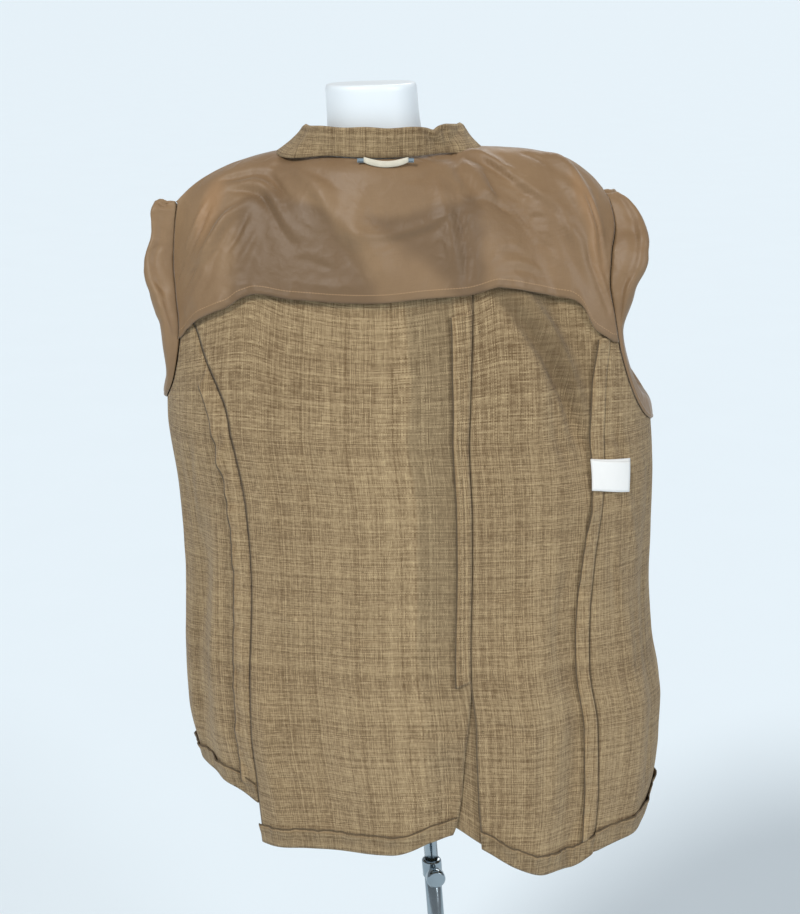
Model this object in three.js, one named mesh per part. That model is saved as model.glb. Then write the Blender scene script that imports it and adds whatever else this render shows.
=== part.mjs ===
// A big unlined linen blazer turned inside out and hung on a limbless dress form, seen from behind.
// Millimetres, +Z up. The photographed back of the garment faces -Y and +X is to the right of it.
// The origin is the middle of the stand's foot, on the floor. The stand leans a little towards -X.
//
// The cloth is one map: an angle goes round the body (0 is the middle of the back, 90 the right side,
// -90 the left side, 180 the front) and a height goes up it. Below CHEST the height is a real Z, and
// above it the columns bend over to the shoulder line and the neckline, which they reach at CREST.
// Every panel is a stretch of that map between two seams, given a wall of cloth.

import * as THREE from "three";

// Driving sizes
const LINEN = 1.6;            // thickness of the linen, with its slubs
const LINING = 1.2;           // thickness of the lining and of the label
const SEAM_GAP = 0.6;         // each panel stops this far short of its seam
const LAYER_GAP = 0.4;        // between a panel and what is sewn on it
const LEAN = 0.0755;          // how far the stand leans to -X for each millimetre of height
const CHEST = 1130;           // height where the upper body begins to bend over
const CREST = 1400;           // map height of the shoulder line and the neckline
const SQUARENESS = 0.83;      // 1 makes the body's sections ellipses, less makes them squarer
const VENT_TOP = 824;
const BREAK_POINT = 1118;     // where the lapels begin to roll, on the front edges
const SHOULDER_GAP = 0.9;     // each of back and front stops this far short of the shoulder seam

// Sections of the body below the chest, from the floor side up
const SECTIONS = [
  { z: 540, left: -316, right: 234, back: 148, front: 144 },
  { z: 600, left: -322, right: 240, back: 150, front: 146 },
  { z: 680, left: -336, right: 250, back: 152, front: 150 },
  { z: 760, left: -352, right: 254, back: 152, front: 152 },
  { z: 840, left: -354, right: 240, back: 150, front: 150 },
  { z: 940, left: -351, right: 233, back: 146, front: 148 },
  { z: 1040, left: -355, right: 233, back: 142, front: 144 },
  { z: 1130, left: -366, right: 227, back: 134, front: 136 },
  { z: 1200, left: -368, right: 205, back: 126, front: 128 },
];

// The shoulder line and the neckline, by the angle of the column that ends there
const TOP_LINE = [
  { angle: -200, x: -120, y: 36, z: 1430 },
  { angle: -180, x: -105, y: 40, z: 1430 },
  { angle: -160, x: -168, y: 32, z: 1442 },
  { angle: -142, x: -212, y: 10, z: 1449 },
  { angle: -128, x: -270, y: 5, z: 1437 },
  { angle: -110, x: -318, y: 2, z: 1415 },
  { angle: -90, x: -349, y: 0, z: 1391 },
  { angle: -70, x: -318, y: 2, z: 1415 },
  { angle: -52, x: -270, y: 5, z: 1437 },
  { angle: -38, x: -212, y: 10, z: 1449 },
  { angle: -24, x: -172, y: -44, z: 1448 },
  { angle: -4, x: -108, y: -72, z: 1447 },
  { angle: 10, x: -44, y: -46, z: 1449 },
  { angle: 22, x: 4, y: 8, z: 1453 },
  { angle: 40, x: 58, y: 6, z: 1451 },
  { angle: 55, x: 98, y: 4, z: 1445 },
  { angle: 72, x: 136, y: 2, z: 1426 },
  { angle: 90, x: 164, y: 0, z: 1394 },
  { angle: 108, x: 136, y: 2, z: 1426 },
  { angle: 125, x: 98, y: 4, z: 1445 },
  { angle: 140, x: 58, y: 6, z: 1451 },
  { angle: 158, x: 4, y: 8, z: 1453 },
  { angle: 180, x: -80, y: 34, z: 1436 },
  { angle: 200, x: -105, y: 40, z: 1430 },
];

// Seams, as the angle at a height
const LEFT_BACK_SEAM = [
  { w: 540, angle: -46 },
  { w: 670, angle: -43.5 },
  { w: 742, angle: -41.1 },
  { w: 978, angle: -39.6 },
  { w: 1078, angle: -40.5 },
  { w: 1134, angle: -42.2 },
  { w: 1183, angle: -52.5 },
  { w: 1206, angle: -57.5 },
  { w: 1232, angle: -69 },
];
const RIGHT_BACK_SEAM = [
  { w: 540, angle: 42.5 },
  { w: 612, angle: 42.2 },
  { w: 800, angle: 40.2 },
  { w: 970, angle: 42.5 },
  { w: 1103, angle: 47.5 },
  { w: 1158, angle: 48.3 },
  { w: 1185, angle: 50.6 },
  { w: 1215, angle: 53.6 },
];
const LEFT_FRONT_SEAM = [
  { w: 540, angle: -116 },
  { w: 860, angle: -117 },
  { w: 1100, angle: -115.5 },
  { w: 1210, angle: -114 },
];
const RIGHT_FRONT_SEAM = [
  { w: 540, angle: 116 },
  { w: 860, angle: 117 },
  { w: 1080, angle: 117 },
  { w: 1180, angle: 125 },
];
const CENTRE_SEAM = [
  { w: VENT_TOP, angle: 8.4 },
  { w: 937, angle: 9 },
  { w: 1060, angle: 9.2 },
  { w: 1157, angle: 10.2 },
  { w: 1264, angle: 12.2 },
  { w: 1350, angle: 6 },
  { w: CREST, angle: -3 },
];
// The two sides of the open vent
const VENT_LEFT = [
  { w: 560, angle: 1.5 },
  { w: 604, angle: 2.2 },
  { w: 641, angle: 3.9 },
  { w: 758, angle: 6.4 },
  { w: VENT_TOP, angle: 8.4 },
];
const VENT_RIGHT = [
  { w: 560, angle: 9.8 },
  { w: 626, angle: 8.9 },
  { w: 683, angle: 8.1 },
  { w: VENT_TOP, angle: 8.4 },
];
// The left front edge, and how far the right one laps over it
const FRONT_LINE = [
  { w: 540, angle: -171 },
  { w: 700, angle: -174.5 },
  { w: BREAK_POINT, angle: -175 },
  { w: 1160, angle: -172 },
  { w: 1200, angle: -169.5 },
  { w: 1300, angle: -160 },
  { w: CREST, angle: -143 },
];
const FRONT_LINE_RIGHT = [
  { w: 540, angle: 186 },
  { w: 700, angle: 191.5 },
  { w: BREAK_POINT, angle: 191 },
  { w: 1160, angle: 186 },
  { w: 1200, angle: 182 },
  { w: 1300, angle: 173 },
  { w: CREST, angle: 159 },
];

// The armholes on the map, round from the shoulder by the back
const ARMHOLES = {
  left: [
    { turn: 0, angle: -90, w: 1404 },
    { turn: 25, angle: -84.5, w: 1388 },
    { turn: 50, angle: -82, w: 1345 },
    { turn: 75, angle: -78, w: 1290 },
    { turn: 100, angle: -71.5, w: 1245 },
    { turn: 125, angle: -66.5, w: 1205 },
    { turn: 150, angle: -72, w: 1166 },
    { turn: 180, angle: -90, w: 1150 },
    { turn: 210, angle: -109, w: 1172 },
    { turn: 235, angle: -114, w: 1210 },
    { turn: 260, angle: -112, w: 1255 },
    { turn: 285, angle: -105, w: 1305 },
    { turn: 310, angle: -98.5, w: 1350 },
    { turn: 335, angle: -95.5, w: 1388 },
    { turn: 360, angle: -90, w: 1404 },
  ],
  right: [
    { turn: 0, angle: 90, w: 1404 },
    { turn: 20, angle: 83, w: 1390 },
    { turn: 40, angle: 75.5, w: 1350 },
    { turn: 60, angle: 66, w: 1290 },
    { turn: 80, angle: 57.5, w: 1253 },
    { turn: 100, angle: 53.5, w: 1222 },
    { turn: 120, angle: 54.5, w: 1190 },
    { turn: 140, angle: 60, w: 1158 },
    { turn: 160, angle: 72, w: 1136 },
    { turn: 180, angle: 90, w: 1128 },
    { turn: 205, angle: 110, w: 1142 },
    { turn: 230, angle: 125, w: 1180 },
    { turn: 255, angle: 128, w: 1230 },
    { turn: 280, angle: 121, w: 1280 },
    { turn: 305, angle: 110, w: 1332 },
    { turn: 335, angle: 98, w: 1386 },
    { turn: 360, angle: 90, w: 1404 },
  ],
};

// Where the side seams run into the armholes
const ARM_JOINS = { leftBack: 1232, rightBack: 1215, leftFront: 1210, rightFront: 1180 };

// The hem's height across each panel, from its first seam to its last
const HEMS = {
  backLeft: [604, 606, 605, 604, 603, 626],
  backRight: [612, 586, 573, 573, 588],
  sideLeft: [668, 676, 684, 687, 682, 659],
  sideRight: [590, 601, 610, 628, 634, 638],
  frontLeft: [668, 656, 646, 644, 652],
  frontRight: [638, 642, 646, 650, 655],
  underlap: [652, 640, 624, 604],
};

// Large folds: a soft ridge (out) or hollow (in) along a line on the map, wide in degrees
const FOLDS = [
  { fromAngle: 26, fromW: 1330, toAngle: 41, toW: 1090, out: -12, wide: 7.5 },
  { fromAngle: 15, fromW: 1310, toAngle: 31, toW: 1060, out: 4, wide: 7 },
  { fromAngle: 35, fromW: 980, toAngle: 33.5, toW: 600, out: -10, wide: 5 },
  { fromAngle: 22, fromW: 900, toAngle: 21, toW: 560, out: 9, wide: 8 },
  { fromAngle: 3.5, fromW: 730, toAngle: 1, toW: 560, out: -11, wide: 3.4 },
  { fromAngle: -62, fromW: 1010, toAngle: -66, toW: 740, out: -10, wide: 6 },
  { fromAngle: -52, fromW: 1000, toAngle: -56, toW: 640, out: 6, wide: 5 },
  { fromAngle: -36, fromW: 830, toAngle: -38, toW: 560, out: 8, wide: 6 },
  { fromAngle: -22, fromW: 900, toAngle: -20, toW: 560, out: -5, wide: 8 },
  { fromAngle: -8, fromW: 1250, toAngle: -10, toW: 700, out: 4, wide: 7 },
  { fromAngle: 58, fromW: 900, toAngle: 60, toW: 560, out: 6, wide: 7 },
  { fromAngle: 76, fromW: 1050, toAngle: 72, toW: 720, out: -7, wide: 7 },
  { fromAngle: 101, fromW: 1020, toAngle: 101, toW: 560, out: 7, wide: 6 },
  { fromAngle: 133, fromW: 1300, toAngle: 150, toW: 980, out: -8, wide: 8 },
  { fromAngle: 140, fromW: 930, toAngle: 136, toW: 560, out: 10, wide: 8 },
  { fromAngle: 164, fromW: 1000, toAngle: 160, toW: 560, out: -8, wide: 7 },
  { fromAngle: -104, fromW: 1000, toAngle: -108, toW: 560, out: 8, wide: 8 },
  { fromAngle: -130, fromW: 1290, toAngle: -152, toW: 1000, out: -8, wide: 8 },
  { fromAngle: -134, fromW: 960, toAngle: -131, toW: 560, out: -8, wide: 7 },
  { fromAngle: -152, fromW: 940, toAngle: -150, toW: 560, out: 9, wide: 8 },
];
// Folds of the back lining alone
const LINING_FOLDS = [
  { fromAngle: 9, fromW: 1392, toAngle: 42, toW: 1275, out: -3.4, wide: 2.6 },
  { fromAngle: 16, fromW: 1380, toAngle: 45, toW: 1262, out: 3.6, wide: 3.4 },
  { fromAngle: -52, fromW: 1352, toAngle: -33, toW: 1318, out: -3.2, wide: 3 },
  { fromAngle: -22, fromW: 1345, toAngle: -10, toW: 1290, out: 3.4, wide: 4 },
  { fromAngle: 8.2, fromW: 1345, toAngle: 9, toW: 1262, out: 3, wide: 1.8 },
  { fromAngle: -45, fromW: 1300, toAngle: -56, toW: 1262, out: 4, wide: 4 },
  { fromAngle: 50, fromW: 1370, toAngle: 53, toW: 1265, out: 4.5, wide: 4 },
];
// The lower edge of the back lining, by angle
const LINING_HEM = [
  { angle: -68, w: 1200 },
  { angle: -65, w: 1202 },
  { angle: -51.5, w: 1211 },
  { angle: -44, w: 1212 },
  { angle: -38, w: 1218 },
  { angle: -23.5, w: 1229 },
  { angle: -1, w: 1235 },
  { angle: 10, w: 1230 },
  { angle: 28.5, w: 1220 },
  { angle: 38.5, w: 1217 },
  { angle: 41.5, w: 1212 },
  { angle: 45, w: 1195 },
  { angle: 51.5, w: 1187 },
];

// How far the rolled sleeve heads stand out of the armholes, round from the shoulder by the back
const SLEEVE_HEADS = {
  left: [
    { turn: 0, out: 14 },
    { turn: 25, out: 25 },
    { turn: 50, out: 35 },
    { turn: 75, out: 37 },
    { turn: 100, out: 31 },
    { turn: 125, out: 22 },
    { turn: 150, out: 9 },
    { turn: 180, out: 5 },
    { turn: 210, out: 9 },
    { turn: 235, out: 20 },
    { turn: 260, out: 30 },
    { turn: 285, out: 34 },
    { turn: 310, out: 32 },
    { turn: 335, out: 25 },
    { turn: 360, out: 14 },
  ],
  right: [
    { turn: 0, out: 5 },
    { turn: 20, out: 10 },
    { turn: 40, out: 23 },
    { turn: 60, out: 38 },
    { turn: 80, out: 43 },
    { turn: 100, out: 27 },
    { turn: 120, out: 6 },
    { turn: 140, out: 3 },
    { turn: 180, out: 3 },
    { turn: 205, out: 3 },
    { turn: 230, out: 4 },
    { turn: 255, out: 16 },
    { turn: 280, out: 28 },
    { turn: 305, out: 22 },
    { turn: 335, out: 10 },
    { turn: 360, out: 5 },
  ],
};
// The roll of a sleeve head, as shares of its standing out, and the way in towards the armhole's
// middle, where it stands out fully and where it is flat
const ROLL = [
  { out: 0, plus: 2, inward: -0.5, flat: -0.5 },
  { out: 0.42, plus: 2.8, inward: -2.2, flat: 1.5 },
  { out: 0.8, plus: 1, inward: -1, flat: 4.5 },
  { out: 1, plus: 0, inward: 8, flat: 9 },
  { out: 0.86, plus: -1, inward: 20, flat: 18 },
  { out: 0.4, plus: -3, inward: 29, flat: 26 },
  { out: 0, plus: -12, inward: 34, flat: 33 },
  { out: 0, plus: -24.5, inward: 36.2, flat: 36.2 },
];
const HOLE_MIDDLE = 1235;     // height of the armholes' middle
const FULL_ROLL = 24;         // a head standing out this far has the whole roll, a flatter one less
// The sleeves hang inside the body, from the inner end of the sleeve heads. Each row is a section:
// its inner or upper end, its outer or lower end, and the half along Y.
const SLEEVES = {
  left: [
    { topX: -303, topZ: 1345, lowX: -336, lowZ: 1174, halfY: 44 },
    { topX: -286, topZ: 1299, lowX: -332, lowZ: 1160, halfY: 50 },
    { topX: -279, topZ: 1246, lowX: -329, lowZ: 1144, halfY: 57 },
    { topX: -279, topZ: 1189, lowX: -326, lowZ: 1124, halfY: 62 },
    { topX: -282, topZ: 1120, lowX: -323, lowZ: 1090, halfY: 65 },
    { topX: -281, topZ: 1028, lowX: -321, lowZ: 1022, halfY: 65 },
    { topX: -281, topZ: 931, lowX: -319, lowZ: 929, halfY: 63 },
    { topX: -280, topZ: 830, lowX: -316, lowZ: 830, halfY: 60 },
    { topX: -279, topZ: 747, lowX: -313, lowZ: 743, halfY: 57 },
  ],
  right: [
    { topX: 118, topZ: 1334, lowX: 197, lowZ: 1150, halfY: 60 },
    { topX: 106, topZ: 1290, lowX: 191, lowZ: 1136, halfY: 60 },
    { topX: 107, topZ: 1232, lowX: 187, lowZ: 1118, halfY: 61 },
    { topX: 119, topZ: 1170, lowX: 184, lowZ: 1096, halfY: 63 },
    { topX: 131, topZ: 1104, lowX: 182, lowZ: 1066, halfY: 65 },
    { topX: 138, topZ: 1022, lowX: 181, lowZ: 1012, halfY: 65 },
    { topX: 143, topZ: 919, lowX: 182, lowZ: 921, halfY: 63 },
    { topX: 148, topZ: 820, lowX: 184, lowZ: 820, halfY: 60 },
    { topX: 151, topZ: 736, lowX: 185, lowZ: 740, halfY: 57 },
  ],
};
const MOUTH = { gap: 0.5, step: 12, rows: 5 };  // how a sleeve leaves the ring of its sleeve head

// Collar: where it is sewn on, from the left front round the back of the neck to the right front,
// and how high it stands there before it turns in
const COLLAR = [
  { x: -196, y: 64, z: 1424, tall: 14, flare: 2 },
  { x: -208, y: 38, z: 1443, tall: 20, flare: -8 },
  { x: -213, y: 4, z: 1454, tall: 24, flare: -18 },
  { x: -198, y: -32, z: 1451, tall: 32, flare: -10 },
  { x: -158, y: -62, z: 1451, tall: 33, flare: 0 },
  { x: -108, y: -76, z: 1450, tall: 33, flare: 0 },
  { x: -62, y: -66, z: 1451, tall: 33, flare: 0 },
  { x: -26, y: -36, z: 1454, tall: 30, flare: -2 },
  { x: 2, y: 4, z: 1457, tall: 25, flare: -10 },
  { x: 6, y: 36, z: 1448, tall: 24, flare: -6 },
  { x: -10, y: 62, z: 1428, tall: 15, flare: 2 },
];
const COLLAR_FALL = 0.86;     // share of the stand that the turned-in fall comes back down
const COLLAR_ROLL = 5;        // distance between the stand and the fall
const LAP_LIFT = 3.4;         // how far the right front stands off where it laps the left one
const LAPEL_WIDTH = 74;
const LAPEL_DEPTH = 6;        // how far inside the front a lapel lies

// Hanging loop under the collar, care label, buttons
const LOOP = { left: -125.5, right: -70.5, y: -80.2, z: 1449, sag: 5, wide: 7, thick: 1.4 };
const LOOP_LINK = { long: 9, tall: 5, thick: 1.6 };
const LABEL = { from: -0.02, to: 0.19, lowW: 1061, highW: 1098, tilt: -11 };
const BUTTONS = { heights: [1085, 975, 865], angle: 178.5, radius: 10.5, thick: 3.6, rim: 1.6 };

// Dress form: horizontal sections, with their middle on the leaning axis
const FORM = [
  { z: 722, halfX: 120, halfY: 78, y: 0 },
  { z: 728, halfX: 146, halfY: 94, y: 0 },
  { z: 760, halfX: 158, halfY: 102, y: 0 },
  { z: 850, halfX: 166, halfY: 104, y: -4 },
  { z: 930, halfX: 158, halfY: 98, y: -4 },
  { z: 1040, halfX: 138, halfY: 88, y: 2 },
  { z: 1120, halfX: 142, halfY: 92, y: 4 },
  { z: 1200, halfX: 156, halfY: 98, y: 4 },
  { z: 1280, halfX: 166, halfY: 98, y: 2 },
  { z: 1340, halfX: 172, halfY: 90, y: 0 },
  { z: 1385, halfX: 172, halfY: 76, y: -2 },
  { z: 1412.5, halfX: 158, halfY: 61.5, y: -3 },
  { z: 1431, halfX: 129, halfY: 55.2, y: -3 },
  { z: 1441, halfX: 92, halfY: 52, y: -4 },
  { z: 1453, halfX: 66, halfY: 51, y: -2 },
  { z: 1470, halfX: 57, halfY: 50, y: 0 },
  { z: 1500, halfX: 54.5, halfY: 50, y: 2 },
  { z: 1527, halfX: 54, halfY: 50, y: 3 },
  { z: 1530, halfX: 52, halfY: 48, y: 3 },
];
const SHOULDER_TILT = 0.05;  // the form leans, so its right shoulder is the higher
const STAND = { base: 178, baseThick: 8, hub: 22, hubTall: 34, outer: 11, inner: 9, collar: 13 };
const CLAMP = { z: 492, tall: 26, knob: 12.5, knobLong: 22, stem: 4 };

// Finishes
const FINISH = {
  linen: { color: 0x9c8866, roughness: 0.92, metalness: 0 },
  lining: { color: 0x8c7355, roughness: 0.42, metalness: 0 },
  satin: { color: 0xd9d2b8, roughness: 0.5, metalness: 0 },
  label: { color: 0xf6f6f4, roughness: 0.7, metalness: 0 },
  horn: { color: 0x4a3524, roughness: 0.35, metalness: 0 },
  form: { color: 0xe8edf0, roughness: 0.45, metalness: 0 },
  chrome: { color: 0xc4cacc, roughness: 0.12, metalness: 1 },
};

const group = new THREE.Group();
const radians = THREE.MathUtils.degToRad;
const mix = THREE.MathUtils.lerp;
const smoothStep = THREE.MathUtils.smoothstep;

// The value of a column at a key, on a smooth curve through the table's rows
function along(rows, key, column, at) {
  const last = rows.length - 1;
  const place = Math.min(Math.max(at, rows[0][key]), rows[last][key]);
  let i = 0;
  while (i < last - 1 && place > rows[i + 1][key]) i++;
  const rise = (j) => (rows[j + 1][column] - rows[j][column]) / (rows[j + 1][key] - rows[j][key]);
  const slope = (j) => {
    if (j === 0 || j === last) return rise(Math.min(j, last - 1));
    const [before, after] = [rise(j - 1), rise(j)];
    return before * after > 0 ? (2 * before * after) / (before + after) : 0;
  };
  const [low, high] = [rows[i], rows[i + 1]];
  const span = high[key] - low[key];
  const t = (place - low[key]) / span;
  const bend = t * t * (3 - 2 * t);
  return (
    mix(low[column], high[column], bend) +
    span * slope(i) * t * (1 - t) * (1 - t) -
    span * slope(i + 1) * t * t * (1 - t)
  );
}

// The value at a share of the way along a plain list of evenly spaced values
function spread(values, share) {
  const rows = values.map((value, i) => ({ at: i / (values.length - 1), value }));
  return along(rows, "at", "value", share);
}

// A point of the body's section at a height
function section(angle, z) {
  const left = along(SECTIONS, "z", "left", z);
  const right = along(SECTIONS, "z", "right", z);
  const s = Math.sin(radians(angle));
  const c = Math.cos(radians(angle));
  const depth = along(SECTIONS, "z", c > 0 ? "back" : "front", z);
  return new THREE.Vector3(
    (left + right) / 2 + ((right - left) / 2) * Math.sign(s) * Math.abs(s) ** SQUARENESS,
    -depth * Math.sign(c) * Math.abs(c) ** SQUARENESS,
    z,
  );
}

// The smooth body, before its folds
function body(angle, w) {
  if (w <= CHEST) return section(angle, w);
  const t = (w - CHEST) / (CREST - CHEST);
  const start = section(angle, CHEST);
  const end = new THREE.Vector3(
    along(TOP_LINE, "angle", "x", angle),
    along(TOP_LINE, "angle", "y", angle),
    along(TOP_LINE, "angle", "z", angle),
  );
  end.y -= SHOULDER_GAP * Math.min(Math.max(22 * Math.cos(radians(angle)), -1), 1);
  const rise = end.z - CHEST;
  const reach = Math.min(1, Math.hypot(end.x - start.x, end.y - start.y) / 130);
  const first = start.clone();
  first.z = CHEST + rise * mix(0.36, 0.58, reach);
  const second = end.clone().lerp(start, 0.5);
  second.z = end.z - rise * mix(0.22, 0.01, reach);
  return new THREE.CubicBezierCurve3(start, first, second, end).getPoint(t);
}

// How far the folds of a table move the cloth out at a place
function foldAt(folds, angle, w) {
  let out = 0;
  for (const f of folds) {
    const long = (w - f.fromW) / (f.toW - f.fromW);
    const middle = mix(f.fromAngle, f.toAngle, Math.min(Math.max(long, -0.2), 1.2));
    const across = (angle - middle) / f.wide;
    const fade = smoothStep(long, -0.2, 0.25) * (1 - smoothStep(long, 0.85, 1.25));
    out += f.out * fade * Math.exp(-across * across);
  }
  return out;
}

function normalOf(surface, angle, w) {
  const right = surface(angle + 0.6, w).sub(surface(angle - 0.6, w));
  const up = surface(angle, Math.min(w + 3, CREST)).sub(surface(angle, w - 3));
  return right.cross(up).normalize();
}

// The folded cloth, before it gets its thickness
function draped(angle, w) {
  const turn = angle > 180 ? angle - 360 : angle;
  const fold = foldAt(FOLDS, turn, w);
  const point = body(angle, w);
  return fold ? point.addScaledVector(normalOf(body, angle, w), fold) : point;
}

// A point on the cloth, moved out from the middle of its wall
function onCloth(angle, w, out) {
  return draped(angle, w).addScaledVector(normalOf(draped, angle, w), out);
}

// A closed solid between two sheets of points. place(i, j, side) gives the outer sheet at side 1 and
// the inner one at side 0. A tube's columns go all the way round.
function wall(columns, rows, place, tube = false) {
  const across = tube ? columns : columns + 1;
  const positions = [];
  const index = [];
  for (const side of [1, 0]) {
    for (let j = 0; j <= rows; j++) {
      for (let i = 0; i < across; i++) positions.push(...place(i, j, side).toArray());
    }
  }
  const at = (i, j, side) => (1 - side) * across * (rows + 1) + j * across + (i % across);
  const quad = (a, b, c, d) => index.push(a, b, c, a, c, d);
  for (let j = 0; j < rows; j++) {
    for (let i = 0; i < columns; i++) {
      quad(at(i, j, 1), at(i + 1, j, 1), at(i + 1, j + 1, 1), at(i, j + 1, 1));
      quad(at(i, j, 0), at(i, j + 1, 0), at(i + 1, j + 1, 0), at(i + 1, j, 0));
    }
    if (!tube) {
      quad(at(0, j, 0), at(0, j, 1), at(0, j + 1, 1), at(0, j + 1, 0));
      quad(at(columns, j, 1), at(columns, j, 0), at(columns, j + 1, 0), at(columns, j + 1, 1));
    }
  }
  for (let i = 0; i < columns; i++) {
    quad(at(i, 0, 0), at(i + 1, 0, 0), at(i + 1, 0, 1), at(i, 0, 1));
    quad(at(i, rows, 1), at(i + 1, rows, 1), at(i + 1, rows, 0), at(i, rows, 0));
  }
  const geometry = new THREE.BufferGeometry();
  geometry.setAttribute("position", new THREE.Float32BufferAttribute(positions, 3));
  geometry.setIndex(volumeOf(positions, index) < 0 ? index.reverse() : index);
  return geometry;
}

function volumeOf(positions, index) {
  const corner = (i) => new THREE.Vector3().fromArray(positions, 3 * index[i]);
  let volume = 0;
  for (let i = 0; i < index.length; i += 3) {
    volume += corner(i).dot(corner(i + 1).cross(corner(i + 2))) / 6;
  }
  return volume;
}

function add(name, geometry, finish) {
  const mesh = new THREE.Mesh(geometry, new THREE.MeshStandardMaterial(FINISH[finish]));
  mesh.name = name;
  group.add(mesh);
  return mesh;
}

// Evenly spaced shares from 0 to 1
const even = (n) => Array.from({ length: n + 1 }, (_, i) => i / n);

// Degrees that a length along the cloth takes up near a place
function degreesFor(length, angle, w) {
  return length / draped(angle + 0.5, w).distanceTo(draped(angle - 0.5, w));
}

// A panel's lines on the map: place(i, j) gives the angle and height of a grid point
function panelGrid({ left, right, low, high, columns, rows, bend = () => 0 }) {
  return (i, j) => {
    const q = columns[i];
    const w = mix(low(q), high(q), rows[j]);
    const inset = degreesFor(SEAM_GAP, mix(left(w), right(w), q), w);
    const angle = mix(left(w) + inset, right(w) - inset, q) + bend(q, rows[j]);
    return { angle, w };
  };
}

function panel(name, shape, lift = () => 0) {
  const grid = panelGrid(shape);
  const place = (i, j, side) => {
    const { angle, w } = grid(i, j);
    return onCloth(angle, w, lift(shape.columns[i], w) + (side - 0.5) * LINEN);
  };
  add(name, wall(shape.columns.length - 1, shape.rows.length - 1, place), "linen");
  return grid;
}

// A strip sewn on a panel: some of the panel's own grid cells, moved out
function strip(name, grid, [fromI, toI], [fromJ, toJ], thick, finish, lift = () => 0) {
  const place = (i, j, side) => {
    const { angle, w } = grid(fromI + i, fromJ + j);
    const start = fromJ > 0 && j === 0 ? SEAM_GAP : 0;
    const out = LINEN / 2 + LAYER_GAP + side * thick + lift(i, j);
    return onCloth(angle, w + start, out);
  };
  add(name, wall(toI - fromI, toJ - fromJ, place), finish);
}

// A place on an armhole, and the angle of one of its sides at a height
function armPoint(hole, turn) {
  return {
    angle: along(hole, "turn", "angle", turn),
    w: along(hole, "turn", "w", turn),
  };
}
function armTurn(hole, w, top, bottom) {
  let [high, low] = [top, bottom];
  for (let n = 0; n < 24; n++) {
    const middle = (high + low) / 2;
    if (armPoint(hole, middle).w > w) high = middle;
    else low = middle;
  }
  return (high + low) / 2;
}
const backOf = (hole) => (w) => armPoint(hole, armTurn(hole, w, 0, 180)).angle;
const frontOf = (hole) => (w) => armPoint(hole, armTurn(hole, w, 360, 180)).angle;
const seam = (rows) => (w) => along(rows, "w", "angle", w);
const joined = (lower, upper, at) => (w) => (w < at ? lower(w) : upper(w));
const armLeft = ARMHOLES.left;
const armRight = ARMHOLES.right;

// Body panels
const BACK_ROWS = [
  0, 0.035, 0.085, 0.14, 0.2, 0.268, 0.33, 0.39, 0.45, 0.51, 0.57,
  0.63, 0.675, 0.705, 0.735, 0.765, 0.79, 0.855, 0.9, 0.94, 0.972, 1,
];
const VENT_ROW = 5;
const crest = () => CREST;

const backLeft = {
  left: joined(seam(LEFT_BACK_SEAM), backOf(armLeft), ARM_JOINS.leftBack),
  right: joined(seam(VENT_LEFT), seam(CENTRE_SEAM), VENT_TOP),
  low: (q) => spread(HEMS.backLeft, q),
  high: crest,
  columns: [0, 0.075, 0.16, 0.26, 0.36, 0.46, 0.56, 0.66, 0.76, 0.86, 0.937, 1],
  rows: BACK_ROWS,
};
const backRight = {
  left: joined(seam(VENT_RIGHT), seam(CENTRE_SEAM), VENT_TOP),
  right: joined(seam(RIGHT_BACK_SEAM), backOf(armRight), ARM_JOINS.rightBack),
  low: (q) => spread(HEMS.backRight, q),
  high: crest,
  columns: [0, 0.1, 0.2, 0.3, 0.4, 0.5, 0.6, 0.7, 0.78, 0.87, 1],
  rows: BACK_ROWS,
};
const frontLeft = {
  left: seam(FRONT_LINE),
  right: joined(seam(LEFT_FRONT_SEAM), frontOf(armLeft), ARM_JOINS.leftFront),
  low: (q) => spread([...HEMS.frontLeft].reverse(), q),
  high: crest,
  columns: [0, 0.1, 0.2, 0.3, 0.4, 0.5, 0.6, 0.7, 0.8, 0.9, 1],
  rows: BACK_ROWS,
};
const frontRight = {
  left: joined(seam(RIGHT_FRONT_SEAM), frontOf(armRight), ARM_JOINS.rightFront),
  right: seam(FRONT_LINE_RIGHT),
  low: (q) => spread(HEMS.frontRight, q),
  high: crest,
  columns: [0, 0.1, 0.22, 0.35, 0.48, 0.61, 0.74, 0.87, 1],
  rows: BACK_ROWS,
};

// An underarm panel ends at the lower half of its armhole
function sidePanel(left, right, hem, columns, hole, turnLeft, turnRight) {
  const top = (q) => armPoint(hole, mix(turnLeft, turnRight, q));
  const high = (q) => top(q).w;
  const bend = (q, r) => {
    const w = high(q);
    return smoothStep(r, 0.55, 1) * (top(q).angle - mix(left(w), right(w), q));
  };
  return {
    left,
    right,
    low: (q) => spread(hem, q),
    high,
    bend,
    columns,
    rows: [0, 0.05, 0.13, 0.22, 0.32, 0.42, 0.52, 0.62, 0.72, 0.81, 0.88, 0.94, 0.97, 1],
  };
}
const sideLeft = sidePanel(
  seam(LEFT_FRONT_SEAM), seam(LEFT_BACK_SEAM), HEMS.sideLeft,
  [0, 0.12, 0.25, 0.38, 0.51, 0.65, 0.79, 0.92, 1], armLeft,
  armTurn(armLeft, ARM_JOINS.leftFront, 360, 180), armTurn(armLeft, ARM_JOINS.leftBack, 0, 180),
);
const sideRight = sidePanel(
  seam(RIGHT_BACK_SEAM), seam(RIGHT_FRONT_SEAM), HEMS.sideRight, even(8), armRight,
  armTurn(armRight, ARM_JOINS.rightBack, 0, 180), armTurn(armRight, ARM_JOINS.rightFront, 360, 180),
);

// The right front laps over the left one below the break point
const lapLift = (q, w) => {
  const near = smoothStep(q, 0.5, 0.8);
  return near * LAP_LIFT * (1 - 0.8 * smoothStep(w, BREAK_POINT, BREAK_POINT + 120));
};

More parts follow.
